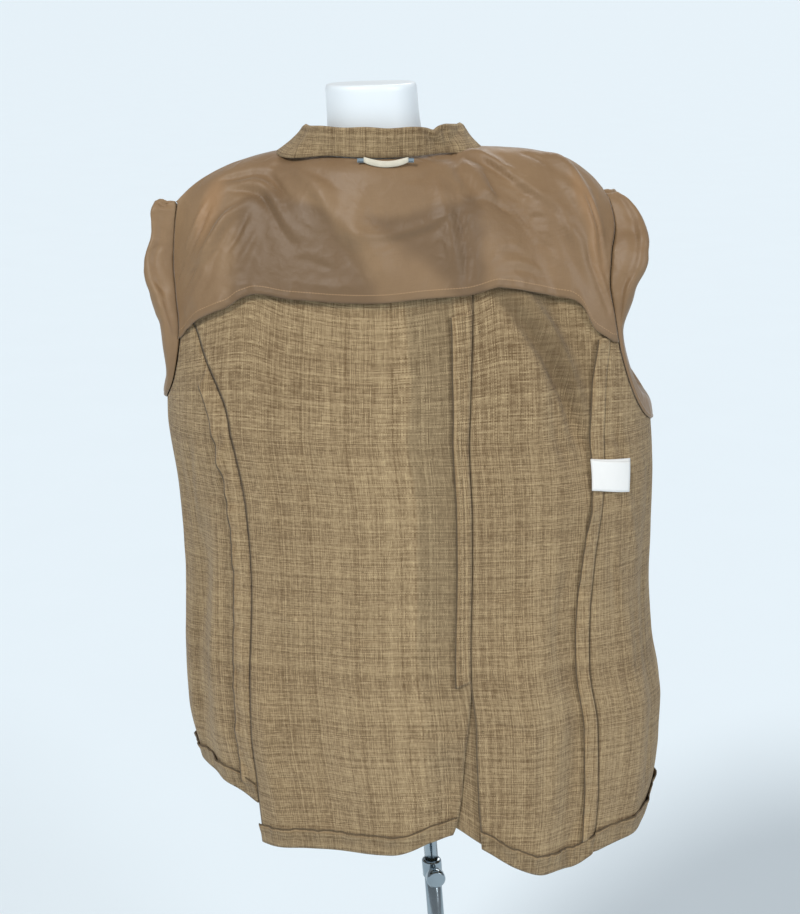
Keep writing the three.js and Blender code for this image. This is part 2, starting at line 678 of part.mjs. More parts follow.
const grids = {
  backLeft: panel("back_left", backLeft),
  backRight: panel("back_right", backRight),
  sideLeft: panel("side_left", sideLeft),
  sideRight: panel("side_right", sideRight),
  frontLeft: panel("front_left", frontLeft),
  frontRight: panel("front_right", frontRight, lapLift),
};

// Vent: the underlap lies inside both back panels
const underlap = {
  left: () => -3,
  right: (w) => seam(VENT_RIGHT)(w) + 3,
  low: (q) => spread(HEMS.underlap, q),
  high: () => VENT_TOP + 10,
  columns: even(8),
  rows: even(10),
};
panel("vent_underlap", underlap, () => -3.8);

// Seam allowances, pressed towards the middle of the back, and the turned-up hem
const lastRow = BACK_ROWS.length - 1;
const PUCKER = 0.35;
const pucker = (i, j) => PUCKER * (1 + Math.sin(1.9 * j + 2.4 * i));
const lastOf = (shape) => shape.columns.length - 1;
strip("allowance_left", grids.sideLeft, [lastOf(sideLeft) - 1, lastOf(sideLeft)], [1, 11],
  LINING, "linen", pucker);
strip("allowance_right", grids.backRight, [lastOf(backRight) - 1, lastOf(backRight)],
  [1, 14], LINING, "linen", pucker);
strip("allowance_centre", grids.backLeft, [lastOf(backLeft) - 1, lastOf(backLeft)],
  [VENT_ROW, 16], LINING, "linen");
strip("allowance_front_left", grids.frontLeft, [lastOf(frontLeft) - 1, lastOf(frontLeft)],
  [1, 14], LINING, "linen", pucker);
strip("allowance_front_right", grids.frontRight, [0, 1], [1, 14], LINING, "linen", pucker);

const hemLift = (i, j) => (j ? 0.5 + 0.4 * Math.sin(1.7 * i) : 0);
for (const [name, grid, shape] of [
  ["hem_back_left", grids.backLeft, backLeft],
  ["hem_back_right", grids.backRight, backRight],
  ["hem_side_left", grids.sideLeft, sideLeft],
  ["hem_side_right", grids.sideRight, sideRight],
]) {
  strip(name, grid, [0, lastOf(shape)], [0, 1], LINEN, "linen", hemLift);
}
strip("hem_front_left", grids.frontLeft, [1, lastOf(frontLeft)], [0, 1], LINEN, "linen", hemLift);
strip("hem_front_right", grids.frontRight, [0, lastOf(frontRight)], [0, 1], LINEN, "linen",
  (i, j) => lapLift(frontRight.columns[i], 700) + hemLift(i, j));

// Back lining: it covers the back from one armhole to the other, down to its own hem
function liningGrid() {
  const columns = even(22);
  const rows = [0, 0.06, 0.16, 0.28, 0.4, 0.52, 0.64, 0.75, 0.85, 0.93, 1];
  const last = columns.length - 1;
  const angleAt = (q, w) => mix(backOf(armLeft)(w) + 0.6, backOf(armRight)(w) - 0.6, q);
  const hemAt = (q) => {
    let w = 1210;
    for (let n = 0; n < 16; n++) w = along(LINING_HEM, "angle", "w", angleAt(q, w));
    return w;
  };
  const place = (i, j, side) => {
    const w = mix(hemAt(columns[i]), CREST - 3, rows[j]);
    const edge = Math.min(i, last - i);
    const angle = angleAt(columns[i], w);
    const free = smoothStep(edge, 0, 3) * (1 - smoothStep(rows[j], 0.8, 1));
    const flare = 2.4 * (1 - smoothStep(rows[j], 0, 0.3)) * smoothStep(edge, 0, 2);
    const crease = Math.max(foldAt(LINING_FOLDS, angle, w), -2.4) * free;
    const out = LINEN / 2 + LAYER_GAP + 1.2 + 3.4 * free + flare + crease;
    return onCloth(angle, w, out + side * LINING);
  };
  return wall(last, rows.length - 1, place);
}
add("back_lining", liningGrid(), "lining");

// A sleeve head: the sleeve's lining rolls out of the armhole and back into it
function edgeOf(hole, turn) {
  const { angle, w } = armPoint(hole, turn);
  return { angle, w: Math.min(w, CREST - 0.5) };
}

function rollPoint(hole, heads, way, turn, share, thick) {
  const at = edgeOf(hole, turn);
  const edge = draped(at.angle, at.w);
  const middle = draped(90 * way, HOLE_MIDDLE);
  const sideways = new THREE.Vector3(way, 0, 0);
  const top = smoothStep(Math.cos(radians(turn)), 0.6, 0.95);
  const toSide = Math.max(top, mix(0.7, 1, smoothStep(share, 0.5, 1)));
  const outward = normalOf(draped, at.angle, at.w).lerp(sideways, toSide).normalize();
  const inward = middle.clone().sub(edge);
  inward.addScaledVector(outward, -inward.dot(outward)).normalize();
  const rows = ROLL.map((r, i) => ({ at: i / (ROLL.length - 1), ...r }));
  const stands = along(heads, "turn", "out", turn);
  const full = smoothStep(stands, 5, FULL_ROLL);
  const sample = (s) =>
    new THREE.Vector2(
      stands * along(rows, "at", "out", s) + along(rows, "at", "plus", s),
      mix(along(rows, "at", "flat", s), along(rows, "at", "inward", s), full),
    );
  const here = sample(share);
  const step = sample(Math.min(share + 0.02, 1)).sub(sample(Math.max(share - 0.02, 0)));
  const skin = new THREE.Vector2(step.y, -step.x).normalize().multiplyScalar(thick);
  here.add(skin);
  return edge.addScaledVector(outward, here.x).addScaledVector(inward, here.y);
}

const AROUND = 26;
function sleeveHead(name, hole, heads, way) {
  const long = 9;
  const place = (i, j, side) =>
    rollPoint(hole, heads, way, (360 * i) / AROUND, j / long, side ? 0 : -LINING);
  add(name, wall(AROUND, long, place, true), "lining");
}
sleeveHead("sleeve_head_left", armLeft, SLEEVE_HEADS.left, -1);
sleeveHead("sleeve_head_right", armRight, SLEEVE_HEADS.right, 1);

// A sleeve is sewn on the inner end of its head, goes on inwards from there and turns down
function sleeve(name, rows, hole, heads, way) {
  const mouth = (i, j, thick) => {
    const ring = rollPoint(hole, heads, way, (360 * i) / AROUND, 1, thick);
    ring.x -= way * (MOUTH.gap + MOUTH.step * j);
    return ring;
  };
  const middle = (column, j) => {
    const i = (column + AROUND) % AROUND;
    const r = rows[Math.max(j - 1, 0)];
    const turn = (2 * Math.PI * i) / AROUND;
    const high = (1 + Math.cos(turn)) / 2;
    const hung = new THREE.Vector3(
      mix(r.lowX, r.topX, high), -r.halfY * Math.sin(turn), mix(r.lowZ, r.topZ, high),
    );
    return mouth(i, j, -LINING / 2).lerp(hung, smoothStep(j, 0, MOUTH.rows));
  };
  const place = (i, j, side) => {
    const off = (side - 0.5) * LINEN;
    if (j === 0) return mouth(i, 0, -LINING / 2 - off);
    const round = middle(i + 1, j).sub(middle(i - 1, j));
    const down = middle(i, Math.min(j + 1, rows.length)).sub(middle(i, j - 1));
    return middle(i, j).addScaledVector(down.cross(round).normalize(), way * off);
  };
  add(name, wall(AROUND, rows.length, place, true), "linen");
}
sleeve("sleeve_left", SLEEVES.left, armLeft, SLEEVE_HEADS.left, -1);
sleeve("sleeve_right", SLEEVES.right, armRight, SLEEVE_HEADS.right, 1);

// Collar: it stands up from the neckline, rolls over inwards and comes down inside
const NECK_MIDDLE = new THREE.Vector3(-105, 0, 1450);
function collarPoint(share, up, thick) {
  const rows = COLLAR.map((r, i) => ({ at: i / (COLLAR.length - 1), ...r }));
  const at = (column, s) => along(rows, "at", column, s);
  const base = (s) => new THREE.Vector3(at("x", s), at("y", s), at("z", s));
  const point = base(share);
  const way = base(Math.min(share + 0.01, 1)).sub(base(Math.max(share - 0.01, 0)));
  const out = new THREE.Vector3(way.y, -way.x, 0).normalize();
  if (out.dot(point.clone().sub(NECK_MIDDLE)) < 0) out.negate();
  const tall = at("tall", share);
  const half = COLLAR_ROLL / 2;
  const stand = tall - half;
  const round = Math.PI * half;
  const fall = stand * COLLAR_FALL;
  const s = up * (stand + round + fall);
  let x;
  let z;
  let nx;
  let nz;
  if (s < stand) [x, z, nx, nz] = [half, s, 1, 0];
  else if (s < stand + round) {
    const turn = (s - stand) / half;
    [x, z, nx, nz] = [half * Math.cos(turn), stand + half * Math.sin(turn), Math.cos(turn), Math.sin(turn)];
  } else [x, z, nx, nz] = [-half, stand - (s - stand - round), -1, 0];
  const flare = at("flare", share) * (z / tall);
  point.addScaledVector(out, x - half + flare + nx * thick);
  point.z += z + nz * thick;
  return point;
}
const COLLAR_UPS = [0, 0.16, 0.3, 0.42, 0.47, 0.51, 0.55, 0.6, 0.72, 0.86, 1];
add("collar", wall(28, COLLAR_UPS.length - 1, (i, j, side) =>
  collarPoint(i / 28, COLLAR_UPS[j], (side - 0.5) * LINEN)), "linen");

// Lapels: turned in at the roll line, they lie inside the fronts
function lapel(name, line, way, lift) {
  const rows = 13;
  const columns = 6;
  const place = (i, j, side) => {
    const w = mix(BREAK_POINT + 47, CREST - 60, j / rows);
    const wide = LAPEL_WIDTH * Math.min(1, 0.12 + 1.05 * (j / rows)) * (i / columns);
    const roll = line(w);
    const angle = roll + way * (degreesFor(wide, roll, w) + 0.4);
    const deep = LAPEL_DEPTH * smoothStep(i, -0.4, 2.2) + 2.55;
    return onCloth(angle, w, lift - deep + (side - 0.5) * LINEN);
  };
  add(name, wall(columns, rows, place), "linen");
}
lapel("lapel_left", seam(FRONT_LINE), 1, 0);
lapel("lapel_right", seam(FRONT_LINE_RIGHT), -1, 0.45);

// Hanging loop and its two end links, sewn on at the neck seam
function loopPoint(share, across, thick) {
  const bow = 4 * share * (1 - share);
  return new THREE.Vector3(
    mix(LOOP.left, LOOP.right, share),
    LOOP.y - 3.2 * bow - thick,
    LOOP.z + LOOP.wide * (across - 0.5) - LOOP.sag * bow,
  );
}
add("hanging_loop", wall(12, 1, (i, j, side) => loopPoint(i / 12, j, side * LOOP.thick)), "satin");
for (const [name, x] of [["loop_link_left", LOOP.left - 5], ["loop_link_right", LOOP.right + 5]]) {
  const link = add(name, new THREE.BoxGeometry(LOOP_LINK.long, LOOP_LINK.thick, LOOP_LINK.tall), "chrome");
  link.position.set(x, LOOP.y - 0.8, LOOP.z - 1);
}

// Care label, sewn into the right back seam and lying on the side panel
add("care_label", wall(3, 2, (i, j, side) => {
  const q = mix(LABEL.from, LABEL.to, i / 3);
  const w = mix(LABEL.lowW, LABEL.highW, j / 2) + LABEL.tilt * (i / 3);
  const angle = mix(sideRight.left(w), sideRight.right(w), q);
  return onCloth(angle, w, LINEN / 2 + 3.7 - 0.6 * i + side * LINING);
}), "label");

// Buttons, on the inside where the right side of the cloth is
BUTTONS.heights.forEach((w, n) => {
  const profile = [
    [0, 0], [BUTTONS.radius - 1, 0], [BUTTONS.radius, 1], [BUTTONS.radius, BUTTONS.thick - 0.6],
    [BUTTONS.radius - BUTTONS.rim, BUTTONS.thick], [BUTTONS.radius - 2 * BUTTONS.rim, BUTTONS.thick - 1],
    [0, BUTTONS.thick - 1],
  ].map(([x, y]) => new THREE.Vector2(x, y));
  const button = add(`button_${n + 1}`, new THREE.LatheGeometry(profile, 20), "horn");
  const inward = normalOf(draped, BUTTONS.angle, w).negate();
  button.position.copy(onCloth(BUTTONS.angle, w, LAP_LIFT - LINEN / 2 - 1.55));
  button.quaternion.setFromUnitVectors(new THREE.Vector3(0, 1, 0), inward);
});

// Dress form and stand
function lean(geometry) {
  const shear = new THREE.Matrix4().makeShear(0, 0, 0, 0, -LEAN, 0);
  return geometry.applyMatrix4(shear);
}

function formSolid() {
  const around = 36;
  const positions = [];
  const index = [];
  const power = 0.88;
  for (const r of FORM) {
    for (let i = 0; i < around; i++) {
      const turn = (2 * Math.PI * i) / around;
      const s = Math.sin(turn);
      const c = Math.cos(turn);
      const x = r.halfX * Math.sign(s) * Math.abs(s) ** power;
      const y = r.y - r.halfY * Math.sign(c) * Math.abs(c) ** power;
      const high = smoothStep(r.z, 1250, 1430);
      positions.push(x, y, r.z + high * SHOULDER_TILT * x * (r.z < 1460 ? 1 : 0.55));
    }
  }
  const last = (FORM.length - 1) * around;
  for (let i = 0; i < around; i++) {
    const next = (i + 1) % around;
    for (let j = 0; j < FORM.length - 1; j++) {
      const a = j * around + i;
      const b = j * around + next;
      index.push(a, b, b + around, a, b + around, a + around);
    }
    if (i > 0 && i < around - 1) {
      index.push(0, next, i);
      index.push(last, last + i, last + next);
    }
  }
  const geometry = new THREE.BufferGeometry();
  geometry.setAttribute("position", new THREE.Float32BufferAttribute(positions, 3));
  geometry.setIndex(volumeOf(positions, index) < 0 ? index.reverse() : index);
  return geometry;
}
add("dress_form", lean(formSolid()), "form");

// A turned piece standing on the leaning axis, from pairs of radius and height
function turned(pairs, sides) {
  const profile = pairs.map(([r, z]) => new THREE.Vector2(r, z));
  return new THREE.LatheGeometry(profile, sides).rotateX(Math.PI / 2);
}
const hubTop = STAND.baseThick + STAND.hubTall;
const formBottom = FORM[0].z;
add("stand_base", turned([
  [0, 0], [STAND.base - 2, 0], [STAND.base, 2], [STAND.base, STAND.baseThick - 3],
  [STAND.base - 4, STAND.baseThick], [STAND.hub + 10, STAND.baseThick + 2],
  [STAND.hub, STAND.baseThick + 10], [STAND.hub, hubTop], [0, hubTop],
], 48), "chrome");
add("stand_tube", lean(turned([
  [0, hubTop + 0.3], [STAND.outer, hubTop + 0.3], [STAND.outer, CLAMP.z - 0.3], [0, CLAMP.z - 0.3],
], 28)), "chrome");
const clampTop = CLAMP.z + CLAMP.tall;
add("stand_clamp", lean(turned([
  [0, CLAMP.z], [STAND.collar - 2, CLAMP.z], [STAND.collar, CLAMP.z + 2],
  [STAND.collar, clampTop - 2], [STAND.collar - 2, clampTop], [0, clampTop],
], 28)), "chrome");
add("stand_rod", lean(turned([
  [0, clampTop + 0.3], [STAND.inner, clampTop + 0.3], [STAND.inner, formBottom - 0.3],
  [0, formBottom - 0.3],
], 24)), "chrome");
const knob = add("clamp_knob", turned([
  [0, 0], [CLAMP.stem, 0], [CLAMP.stem, 6], [CLAMP.knob - 3, 7], [CLAMP.knob, 10],
  [CLAMP.knob, CLAMP.knobLong - 2], [CLAMP.knob - 2, CLAMP.knobLong], [0, CLAMP.knobLong],
], 24), "chrome");
knob.rotation.set(radians(90), 0, radians(8));
const clampMiddle = CLAMP.z + CLAMP.tall / 2;
knob.position.set(
  -LEAN * clampMiddle + Math.sin(radians(8)) * (STAND.collar + 0.9),
  -Math.cos(radians(8)) * (STAND.collar + 0.9),
  clampMiddle,
);

export default group;
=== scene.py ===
import math

import bmesh
import bpy
import numpy as np
from mathutils import Matrix, Vector


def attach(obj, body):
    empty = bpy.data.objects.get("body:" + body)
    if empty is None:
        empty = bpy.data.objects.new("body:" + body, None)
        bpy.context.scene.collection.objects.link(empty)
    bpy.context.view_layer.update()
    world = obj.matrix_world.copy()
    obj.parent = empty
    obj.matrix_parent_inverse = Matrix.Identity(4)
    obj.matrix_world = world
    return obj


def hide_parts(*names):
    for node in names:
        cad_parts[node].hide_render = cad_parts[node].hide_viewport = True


bl_info = {
    "name": "Inside-out linen blazer on a dress form",
    "version": (1, 0, 0),
    "blender": (4, 5, 0),
    "location": "3D View > Sidebar > Blazer",
    "description": "Builds the cloth, the form and the stand of a linen blazer turned inside out",
    "category": "Object",
}

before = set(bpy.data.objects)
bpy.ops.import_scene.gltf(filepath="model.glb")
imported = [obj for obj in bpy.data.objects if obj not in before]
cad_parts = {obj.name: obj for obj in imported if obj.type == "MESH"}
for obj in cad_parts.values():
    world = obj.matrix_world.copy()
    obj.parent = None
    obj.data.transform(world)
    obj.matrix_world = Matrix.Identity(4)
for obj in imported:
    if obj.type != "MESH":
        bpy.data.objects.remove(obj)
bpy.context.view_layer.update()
MM = 0.001

# Tables in millimetres and degrees. Angles run to the right, from the middle of the back.
# The body up to the chest: height, x of its sides, depth of the back and of the front
SECTIONS = [
    (540, -316, 234, 148, 144), (600, -322, 240, 150, 146), (680, -336, 250, 152, 150),
    (760, -352, 254, 152, 152), (840, -354, 240, 150, 150), (940, -351, 233, 146, 148),
    (1040, -355, 233, 142, 144), (1130, -366, 227, 134, 136), (1200, -368, 205, 126, 128),
]
# The line round the neck and over the shoulders: angle, x, y, height
TOP_LINE = [
    (-200, -120, 36, 1430), (-180, -105, 40, 1430), (-160, -168, 32, 1442), (-142, -212, 10, 1449),
    (-128, -270, 5, 1437), (-110, -318, 2, 1415), (-90, -349, 0, 1391), (-70, -318, 2, 1415),
    (-52, -270, 5, 1437), (-38, -212, 10, 1449), (-24, -172, -44, 1448), (-4, -108, -72, 1447),
    (10, -44, -46, 1449), (22, 4, 8, 1453), (40, 58, 6, 1451), (55, 98, 4, 1445),
    (72, 136, 2, 1426), (90, 164, 0, 1394), (108, 136, 2, 1426), (125, 98, 4, 1445),
    (140, 58, 6, 1451), (158, 4, 8, 1453), (180, -80, 34, 1436), (200, -105, 40, 1430),
]
# Seams and free edges: height and angle
LEFT_BACK_SEAM = [
    (540, -46), (670, -43.5), (742, -41.1), (978, -39.6), (1078, -40.5), (1134, -42.2),
    (1183, -52.5), (1206, -57.5), (1232, -69),
]
RIGHT_BACK_SEAM = [
    (540, 42.5), (612, 42.2), (800, 40.2), (970, 42.5), (1103, 47.5), (1158, 48.3), (1185, 50.6),
    (1215, 53.6),
]
LEFT_FRONT_SEAM = [
    (540, -116), (860, -117), (1100, -115.5), (1210, -114),
]
RIGHT_FRONT_SEAM = [
    (540, 116), (860, 117), (1080, 117), (1180, 125),
]
CENTRE_SEAM = [
    (824, 8.4), (937, 9), (1060, 9.2), (1157, 10.2), (1264, 12.2), (1350, 6), (1400, -3),
]
VENT_LEFT = [
    (560, 1.5), (604, 2.2), (641, 3.9), (758, 6.4), (824, 8.4),
]
VENT_RIGHT = [
    (560, 9.8), (626, 8.9), (683, 8.1), (824, 8.4),
]
FRONT_LINE = [
    (540, -171), (700, -174.5), (1118, -175), (1160, -172), (1200, -169.5), (1300, -160),
    (1400, -143),
]
FRONT_LINE_RIGHT = [
    (540, 186), (700, 191.5), (1118, 191), (1160, 186), (1200, 182), (1300, 173), (1400, 159),
]
# Soft folds: angle and height of both ends, how far out or in, width in degrees
FOLDS = [
    (26, 1330, 41, 1090, -12, 7.5), (15, 1310, 31, 1060, 4, 7), (35, 980, 33.5, 600, -10, 5),
    (22, 900, 21, 560, 9, 8), (3.5, 730, 1, 560, -11, 3.4), (-62, 1010, -66, 740, -10, 6),
    (-52, 1000, -56, 640, 6, 5), (-36, 830, -38, 560, 8, 6), (-22, 900, -20, 560, -5, 8),
    (-8, 1250, -10, 700, 4, 7), (58, 900, 60, 560, 6, 7), (76, 1050, 72, 720, -7, 7),
    (101, 1020, 101, 560, 7, 6), (133, 1300, 150, 980, -8, 8), (140, 930, 136, 560, 10, 8),
    (164, 1000, 160, 560, -8, 7), (-104, 1000, -108, 560, 8, 8), (-130, 1290, -152, 1000, -8, 8),
    (-134, 960, -131, 560, -8, 7), (-152, 940, -150, 560, 9, 8),
]
LINING_FOLDS = [
    (9, 1392, 42, 1275, -3.4, 2.6), (16, 1380, 45, 1262, 3.6, 3.4), (-52, 1352, -33, 1318, -3.2, 3),
    (-22, 1345, -10, 1290, 3.4, 4), (8.2, 1345, 9, 1262, 3, 1.8), (-45, 1300, -56, 1262, 4, 4),
    (50, 1370, 53, 1265, 4.5, 4),
]
# The lining's free edge: angle and height
LINING_HEM = [
    (-68, 1200), (-65, 1202), (-51.5, 1211), (-44, 1212), (-38, 1218), (-23.5, 1229), (-1, 1235),
    (10, 1230), (28.5, 1220), (38.5, 1217), (41.5, 1212), (45, 1195), (51.5, 1187),
]
# Over a sleeve head: share of its standing height, more outwards, inwards where full and flat
ROLL = [
    (0, 2, -0.5, -0.5), (0.42, 2.8, -2.2, 1.5), (0.8, 1, -1, 4.5), (1, 0, 8, 9), (0.86, -1, 20, 18),
    (0.4, -3, 29, 26), (0, -12, 34, 33), (0, -24.5, 36.2, 36.2),
]
# The collar's base round the neck: x, y, height, how tall it stands, how far it flares
COLLAR = [
    (-196, 64, 1424, 14, 2), (-208, 38, 1443, 20, -8), (-213, 4, 1454, 24, -18),
    (-198, -32, 1451, 32, -10), (-158, -62, 1451, 33, 0), (-108, -76, 1450, 33, 0),
    (-62, -66, 1451, 33, 0), (-26, -36, 1454, 30, -2), (2, 4, 1457, 25, -10), (6, 36, 1448, 24, -6),
    (-10, 62, 1428, 15, 2),
]
# The form: height, half width, half depth, shift to the front
FORM = [
    (722, 120, 78, 0), (728, 146, 94, 0), (760, 158, 102, 0), (850, 166, 104, -4),
    (930, 158, 98, -4), (1040, 138, 88, 2), (1120, 142, 92, 4), (1200, 156, 98, 4),
    (1280, 166, 98, 2), (1340, 172, 90, 0), (1385, 172, 76, -2), (1412.5, 158, 61.5, -3),
    (1431, 129, 55.2, -3), (1441, 92, 52, -4), (1453, 66, 51, -2), (1470, 57, 50, 0),
    (1500, 54.5, 50, 2), (1527, 54, 50, 3), (1530, 52, 48, 3),
]
# Armholes: turn round them from the top by the back, angle on the body, height
ARMHOLE_LEFT = [
    (0, -90, 1404), (25, -84.5, 1388), (50, -82, 1345), (75, -78, 1290), (100, -71.5, 1245),
    (125, -66.5, 1205), (150, -72, 1166), (180, -90, 1150), (210, -109, 1172), (235, -114, 1210),
    (260, -112, 1255), (285, -105, 1305), (310, -98.5, 1350), (335, -95.5, 1388), (360, -90, 1404),
]
ARMHOLE_RIGHT = [
    (0, 90, 1404), (20, 83, 1390), (40, 75.5, 1350), (60, 66, 1290), (80, 57.5, 1253),
    (100, 53.5, 1222), (120, 54.5, 1190), (140, 60, 1158), (160, 72, 1136), (180, 90, 1128),
    (205, 110, 1142), (230, 125, 1180), (255, 128, 1230), (280, 121, 1280), (305, 110, 1332),
    (335, 98, 1386), (360, 90, 1404),
]
# Sleeve heads: turn round the armhole, how far they stand out
SLEEVE_HEAD_LEFT = [
    (0, 14), (25, 25), (50, 35), (75, 37), (100, 31), (125, 22), (150, 9), (180, 5), (210, 9),
    (235, 20), (260, 30), (285, 34), (310, 32), (335, 25), (360, 14),
]
SLEEVE_HEAD_RIGHT = [
    (0, 5), (20, 10), (40, 23), (60, 38), (80, 43), (100, 27), (120, 6), (140, 3), (180, 3),
    (205, 3), (230, 4), (255, 16), (280, 28), (305, 22), (335, 10), (360, 5),
]
# Sleeves, downwards: x and height of the upper side, of the lower side, half the depth
SLEEVE_LEFT = [
    (-303, 1345, -336, 1174, 44), (-286, 1299, -332, 1160, 50), (-279, 1246, -329, 1144, 57),
    (-279, 1189, -326, 1124, 62), (-282, 1120, -323, 1090, 65), (-281, 1028, -321, 1022, 65),
    (-281, 931, -319, 929, 63), (-280, 830, -316, 830, 60), (-279, 747, -313, 743, 57),
]
SLEEVE_RIGHT = [
    (118, 1334, 197, 1150, 60), (106, 1290, 191, 1136, 60), (107, 1232, 187, 1118, 61),
    (119, 1170, 184, 1096, 63), (131, 1104, 182, 1066, 65), (138, 1022, 181, 1012, 65),
    (143, 919, 182, 921, 63), (148, 820, 184, 820, 60), (151, 736, 185, 740, 57),
]
# Heights of the lower edges, evenly spaced along each
HEMS = {
    "back_left": (604, 606, 605, 604, 603, 626),
    "back_right": (612, 586, 573, 573, 588),
    "side_left": (668, 676, 684, 687, 682, 659),
    "side_right": (590, 601, 610, 628, 634, 638),
    "front_left": (668, 656, 646, 644, 652),
    "front_right": (638, 642, 646, 650, 655),
    "underlap": (652, 640, 624, 604),
}

# Heights on the map of the cloth: chest, line over the shoulders, vent and the lapels' break
CHEST, CREST = 1130, 1400
VENT_TOP, BREAK_POINT = 824, 1118
# Thickness of both cloths, the air between two layers and the one along the shoulder line
LINEN, LINING = 1.6, 1.2
LAYER = 0.4
SHOULDER_GAP = 0.9
# Powers that make the sections squarer than an ellipse
SQUARENESS, FORM_SQUARENESS = 0.83, 0.88
# Above the chest: how far in counts as far, and the shares of the rise at which the bend begins
# and ends, where the cloth goes straight up and where it goes far in
FAR_IN = 130
BEND_START, BEND_END = (0.36, 0.58), (0.22, 0.01)
# Sideways lean of the form and the stand for a millimetre of height
LEAN = 0.0755
# Share of the form's grid that closes each end, and how much its shoulders tilt
FORM_CAP, SHOULDER_TILT = 0.04, 0.05
# Millimetres of cloth to a degree, for the creases
DEGREE = 4.7
# The same on a sleeve head: to a degree round it and over its roll. Then how far its creases bow,
# and the collar's length.
HEAD_DEGREE, HEAD_OVER = 0.9, 60
HEAD_BOW, COLLAR_LONG = 2, 480
# How much higher the creases and folds are than their tables say
LINEN_GAIN, LINING_GAIN, LINING_FOLD_GAIN, HEAD_GAIN = 1.45, 2.1, 2.0, 1.15
# The narrowest cut of a sheet, in metres, and the least share of its box that it fills
NARROWEST_SHEET, LEAST_COVER = 0.01, 0.31
# Half the side of the floor, in metres, so that it fills the picture up to its top
FLOOR_REACH = 150.0

# Creases: from angle and height to angle and height, out or in, width, and how far the line bows
CREASES = [
    (18, 1215, 40, 1120, -8.5, 9, 10), (23, 1212, 43, 1130, 4.6, 12, 6),
    (30, 1170, 36, 1080, -1.6, 8, -6), (14, 1190, 20, 1100, 1.0, 10, 4), (24, 1040, 26, 900, -1.0, 11, 8),
    (33, 960, 31, 820, -1.3, 9, -7), (16, 860, 20, 700, 1.2, 12, 9), (27, 800, 24, 640, -1.2, 10, -8),
    (13, 690, 15, 600, 1.0, 8, 4), (36, 740, 30, 600, 1.3, 11, 8), (12, 1010, 30, 985, -0.5, 6, 5),
    (14, 930, 28, 955, 0.5, 7, -6), (10, 780, 22, 760, -0.5, 6, 4), (1, 1180, -1, 1010, -0.5, 4, 2),
    (-1, 990, -3, 800, -0.6, 4.5, -3), (-2, 790, -5, 640, -0.9, 6, 4), (-12, 1170, -9, 1050, 0.7, 13, -8),
    (-24, 1180, -20, 1020, -1.0, 12, 9), (-33, 1150, -31, 1000, 0.9, 11, -7),
    (-15, 1000, -18, 840, -0.8, 12, 9), (-28, 960, -27, 780, 0.9, 12, 7),
    (-10, 830, -12, 650, 1.1, 13, -8), (-22, 790, -24, 620, -1.2, 11, 8),
    (-34, 800, -36, 640, 1.3, 10, -6), (-30, 1080, -14, 1060, -0.5, 7, 6),
    (-36, 930, -22, 905, 0.5, 7, -6), (-5, 900, -18, 885, -0.45, 6, 5), (-38, 700, -26, 690, -0.6, 8, 4),
    (-44, 1150, -53, 1085, -1.8, 6, 5), (-43, 1120, -50, 1060, 1.2, 6, -4),
    (-43, 1095, -57, 1040, -1.5, 7, 7), (-42, 1050, -54, 1015, -1.1, 6, -4),
    (-42, 1010, -50, 960, 0.9, 8, 5), (-60, 1120, -66, 990, -1.8, 10, -8),
    (-54, 960, -58, 800, 1.6, 12, 9), (-64, 930, -70, 760, -2.2, 14, -9),
    (-46, 900, -48, 740, -1.2, 9, 6), (-52, 760, -50, 680, 1.2, 10, 4), (-75, 1100, -78, 960, 1.5, 12, 8),
    (-82, 1010, -80, 820, -1.8, 13, -9), (-74, 800, -76, 690, 1.3, 12, 6),
    (-92, 1120, -95, 980, -1.5, 12, 7), (-98, 950, -96, 760, 1.5, 14, -8),
    (-108, 1080, -105, 900, -1.2, 12, 6), (-110, 840, -112, 700, 1.2, 12, 5),
    (50, 1140, 58, 1040, -1.6, 9, 8), (55, 1080, 66, 960, 1.5, 11, -7), (48, 1000, 52, 880, -1.2, 9, 5),
    (62, 930, 58, 790, -1.5, 12, 8), (50, 840, 54, 700, 1.2, 11, -6), (68, 1110, 78, 1000, -1.4, 11, 8),
    (80, 960, 76, 800, 1.6, 13, -8), (70, 760, 66, 640, -1.6, 12, 6), (90, 1080, 94, 930, -1.5, 12, 8),
    (98, 900, 94, 740, 1.4, 13, -7), (106, 1060, 110, 880, -1.2, 11, 6), (84, 720, 86, 620, 1.2, 11, 5),
    (126, 1150, 138, 1000, -1.8, 11, 9), (134, 1120, 150, 990, 1.4, 12, -8),
    (124, 960, 128, 800, -1.4, 12, 7), (142, 900, 138, 740, 1.5, 13, -8),
    (152, 840, 158, 690, -1.4, 12, 7), (164, 1060, 172, 930, 1.2, 11, -6),
    (166, 900, 176, 760, -1.2, 11, 6), (130, 740, 134, 660, 1.2, 10, 4),
    (144, 1240, 158, 1150, -1.4, 10, 7), (-122, 1150, -134, 1000, -1.8, 11, -9),
    (-132, 1120, -148, 1000, 1.4, 12, 8), (-122, 960, -126, 790, 1.3, 12, 7),
    (-142, 930, -136, 760, -1.5, 13, -8), (-154, 880, -158, 720, 1.4, 12, 7),
    (-164, 1060, -168, 920, -1.2, 11, 6), (-160, 860, -168, 720, 1.1, 11, -6),
    (-128, 740, -132, 680, -1.2, 10, 4), (-142, 1240, -156, 1160, 1.3, 10, 7),
]
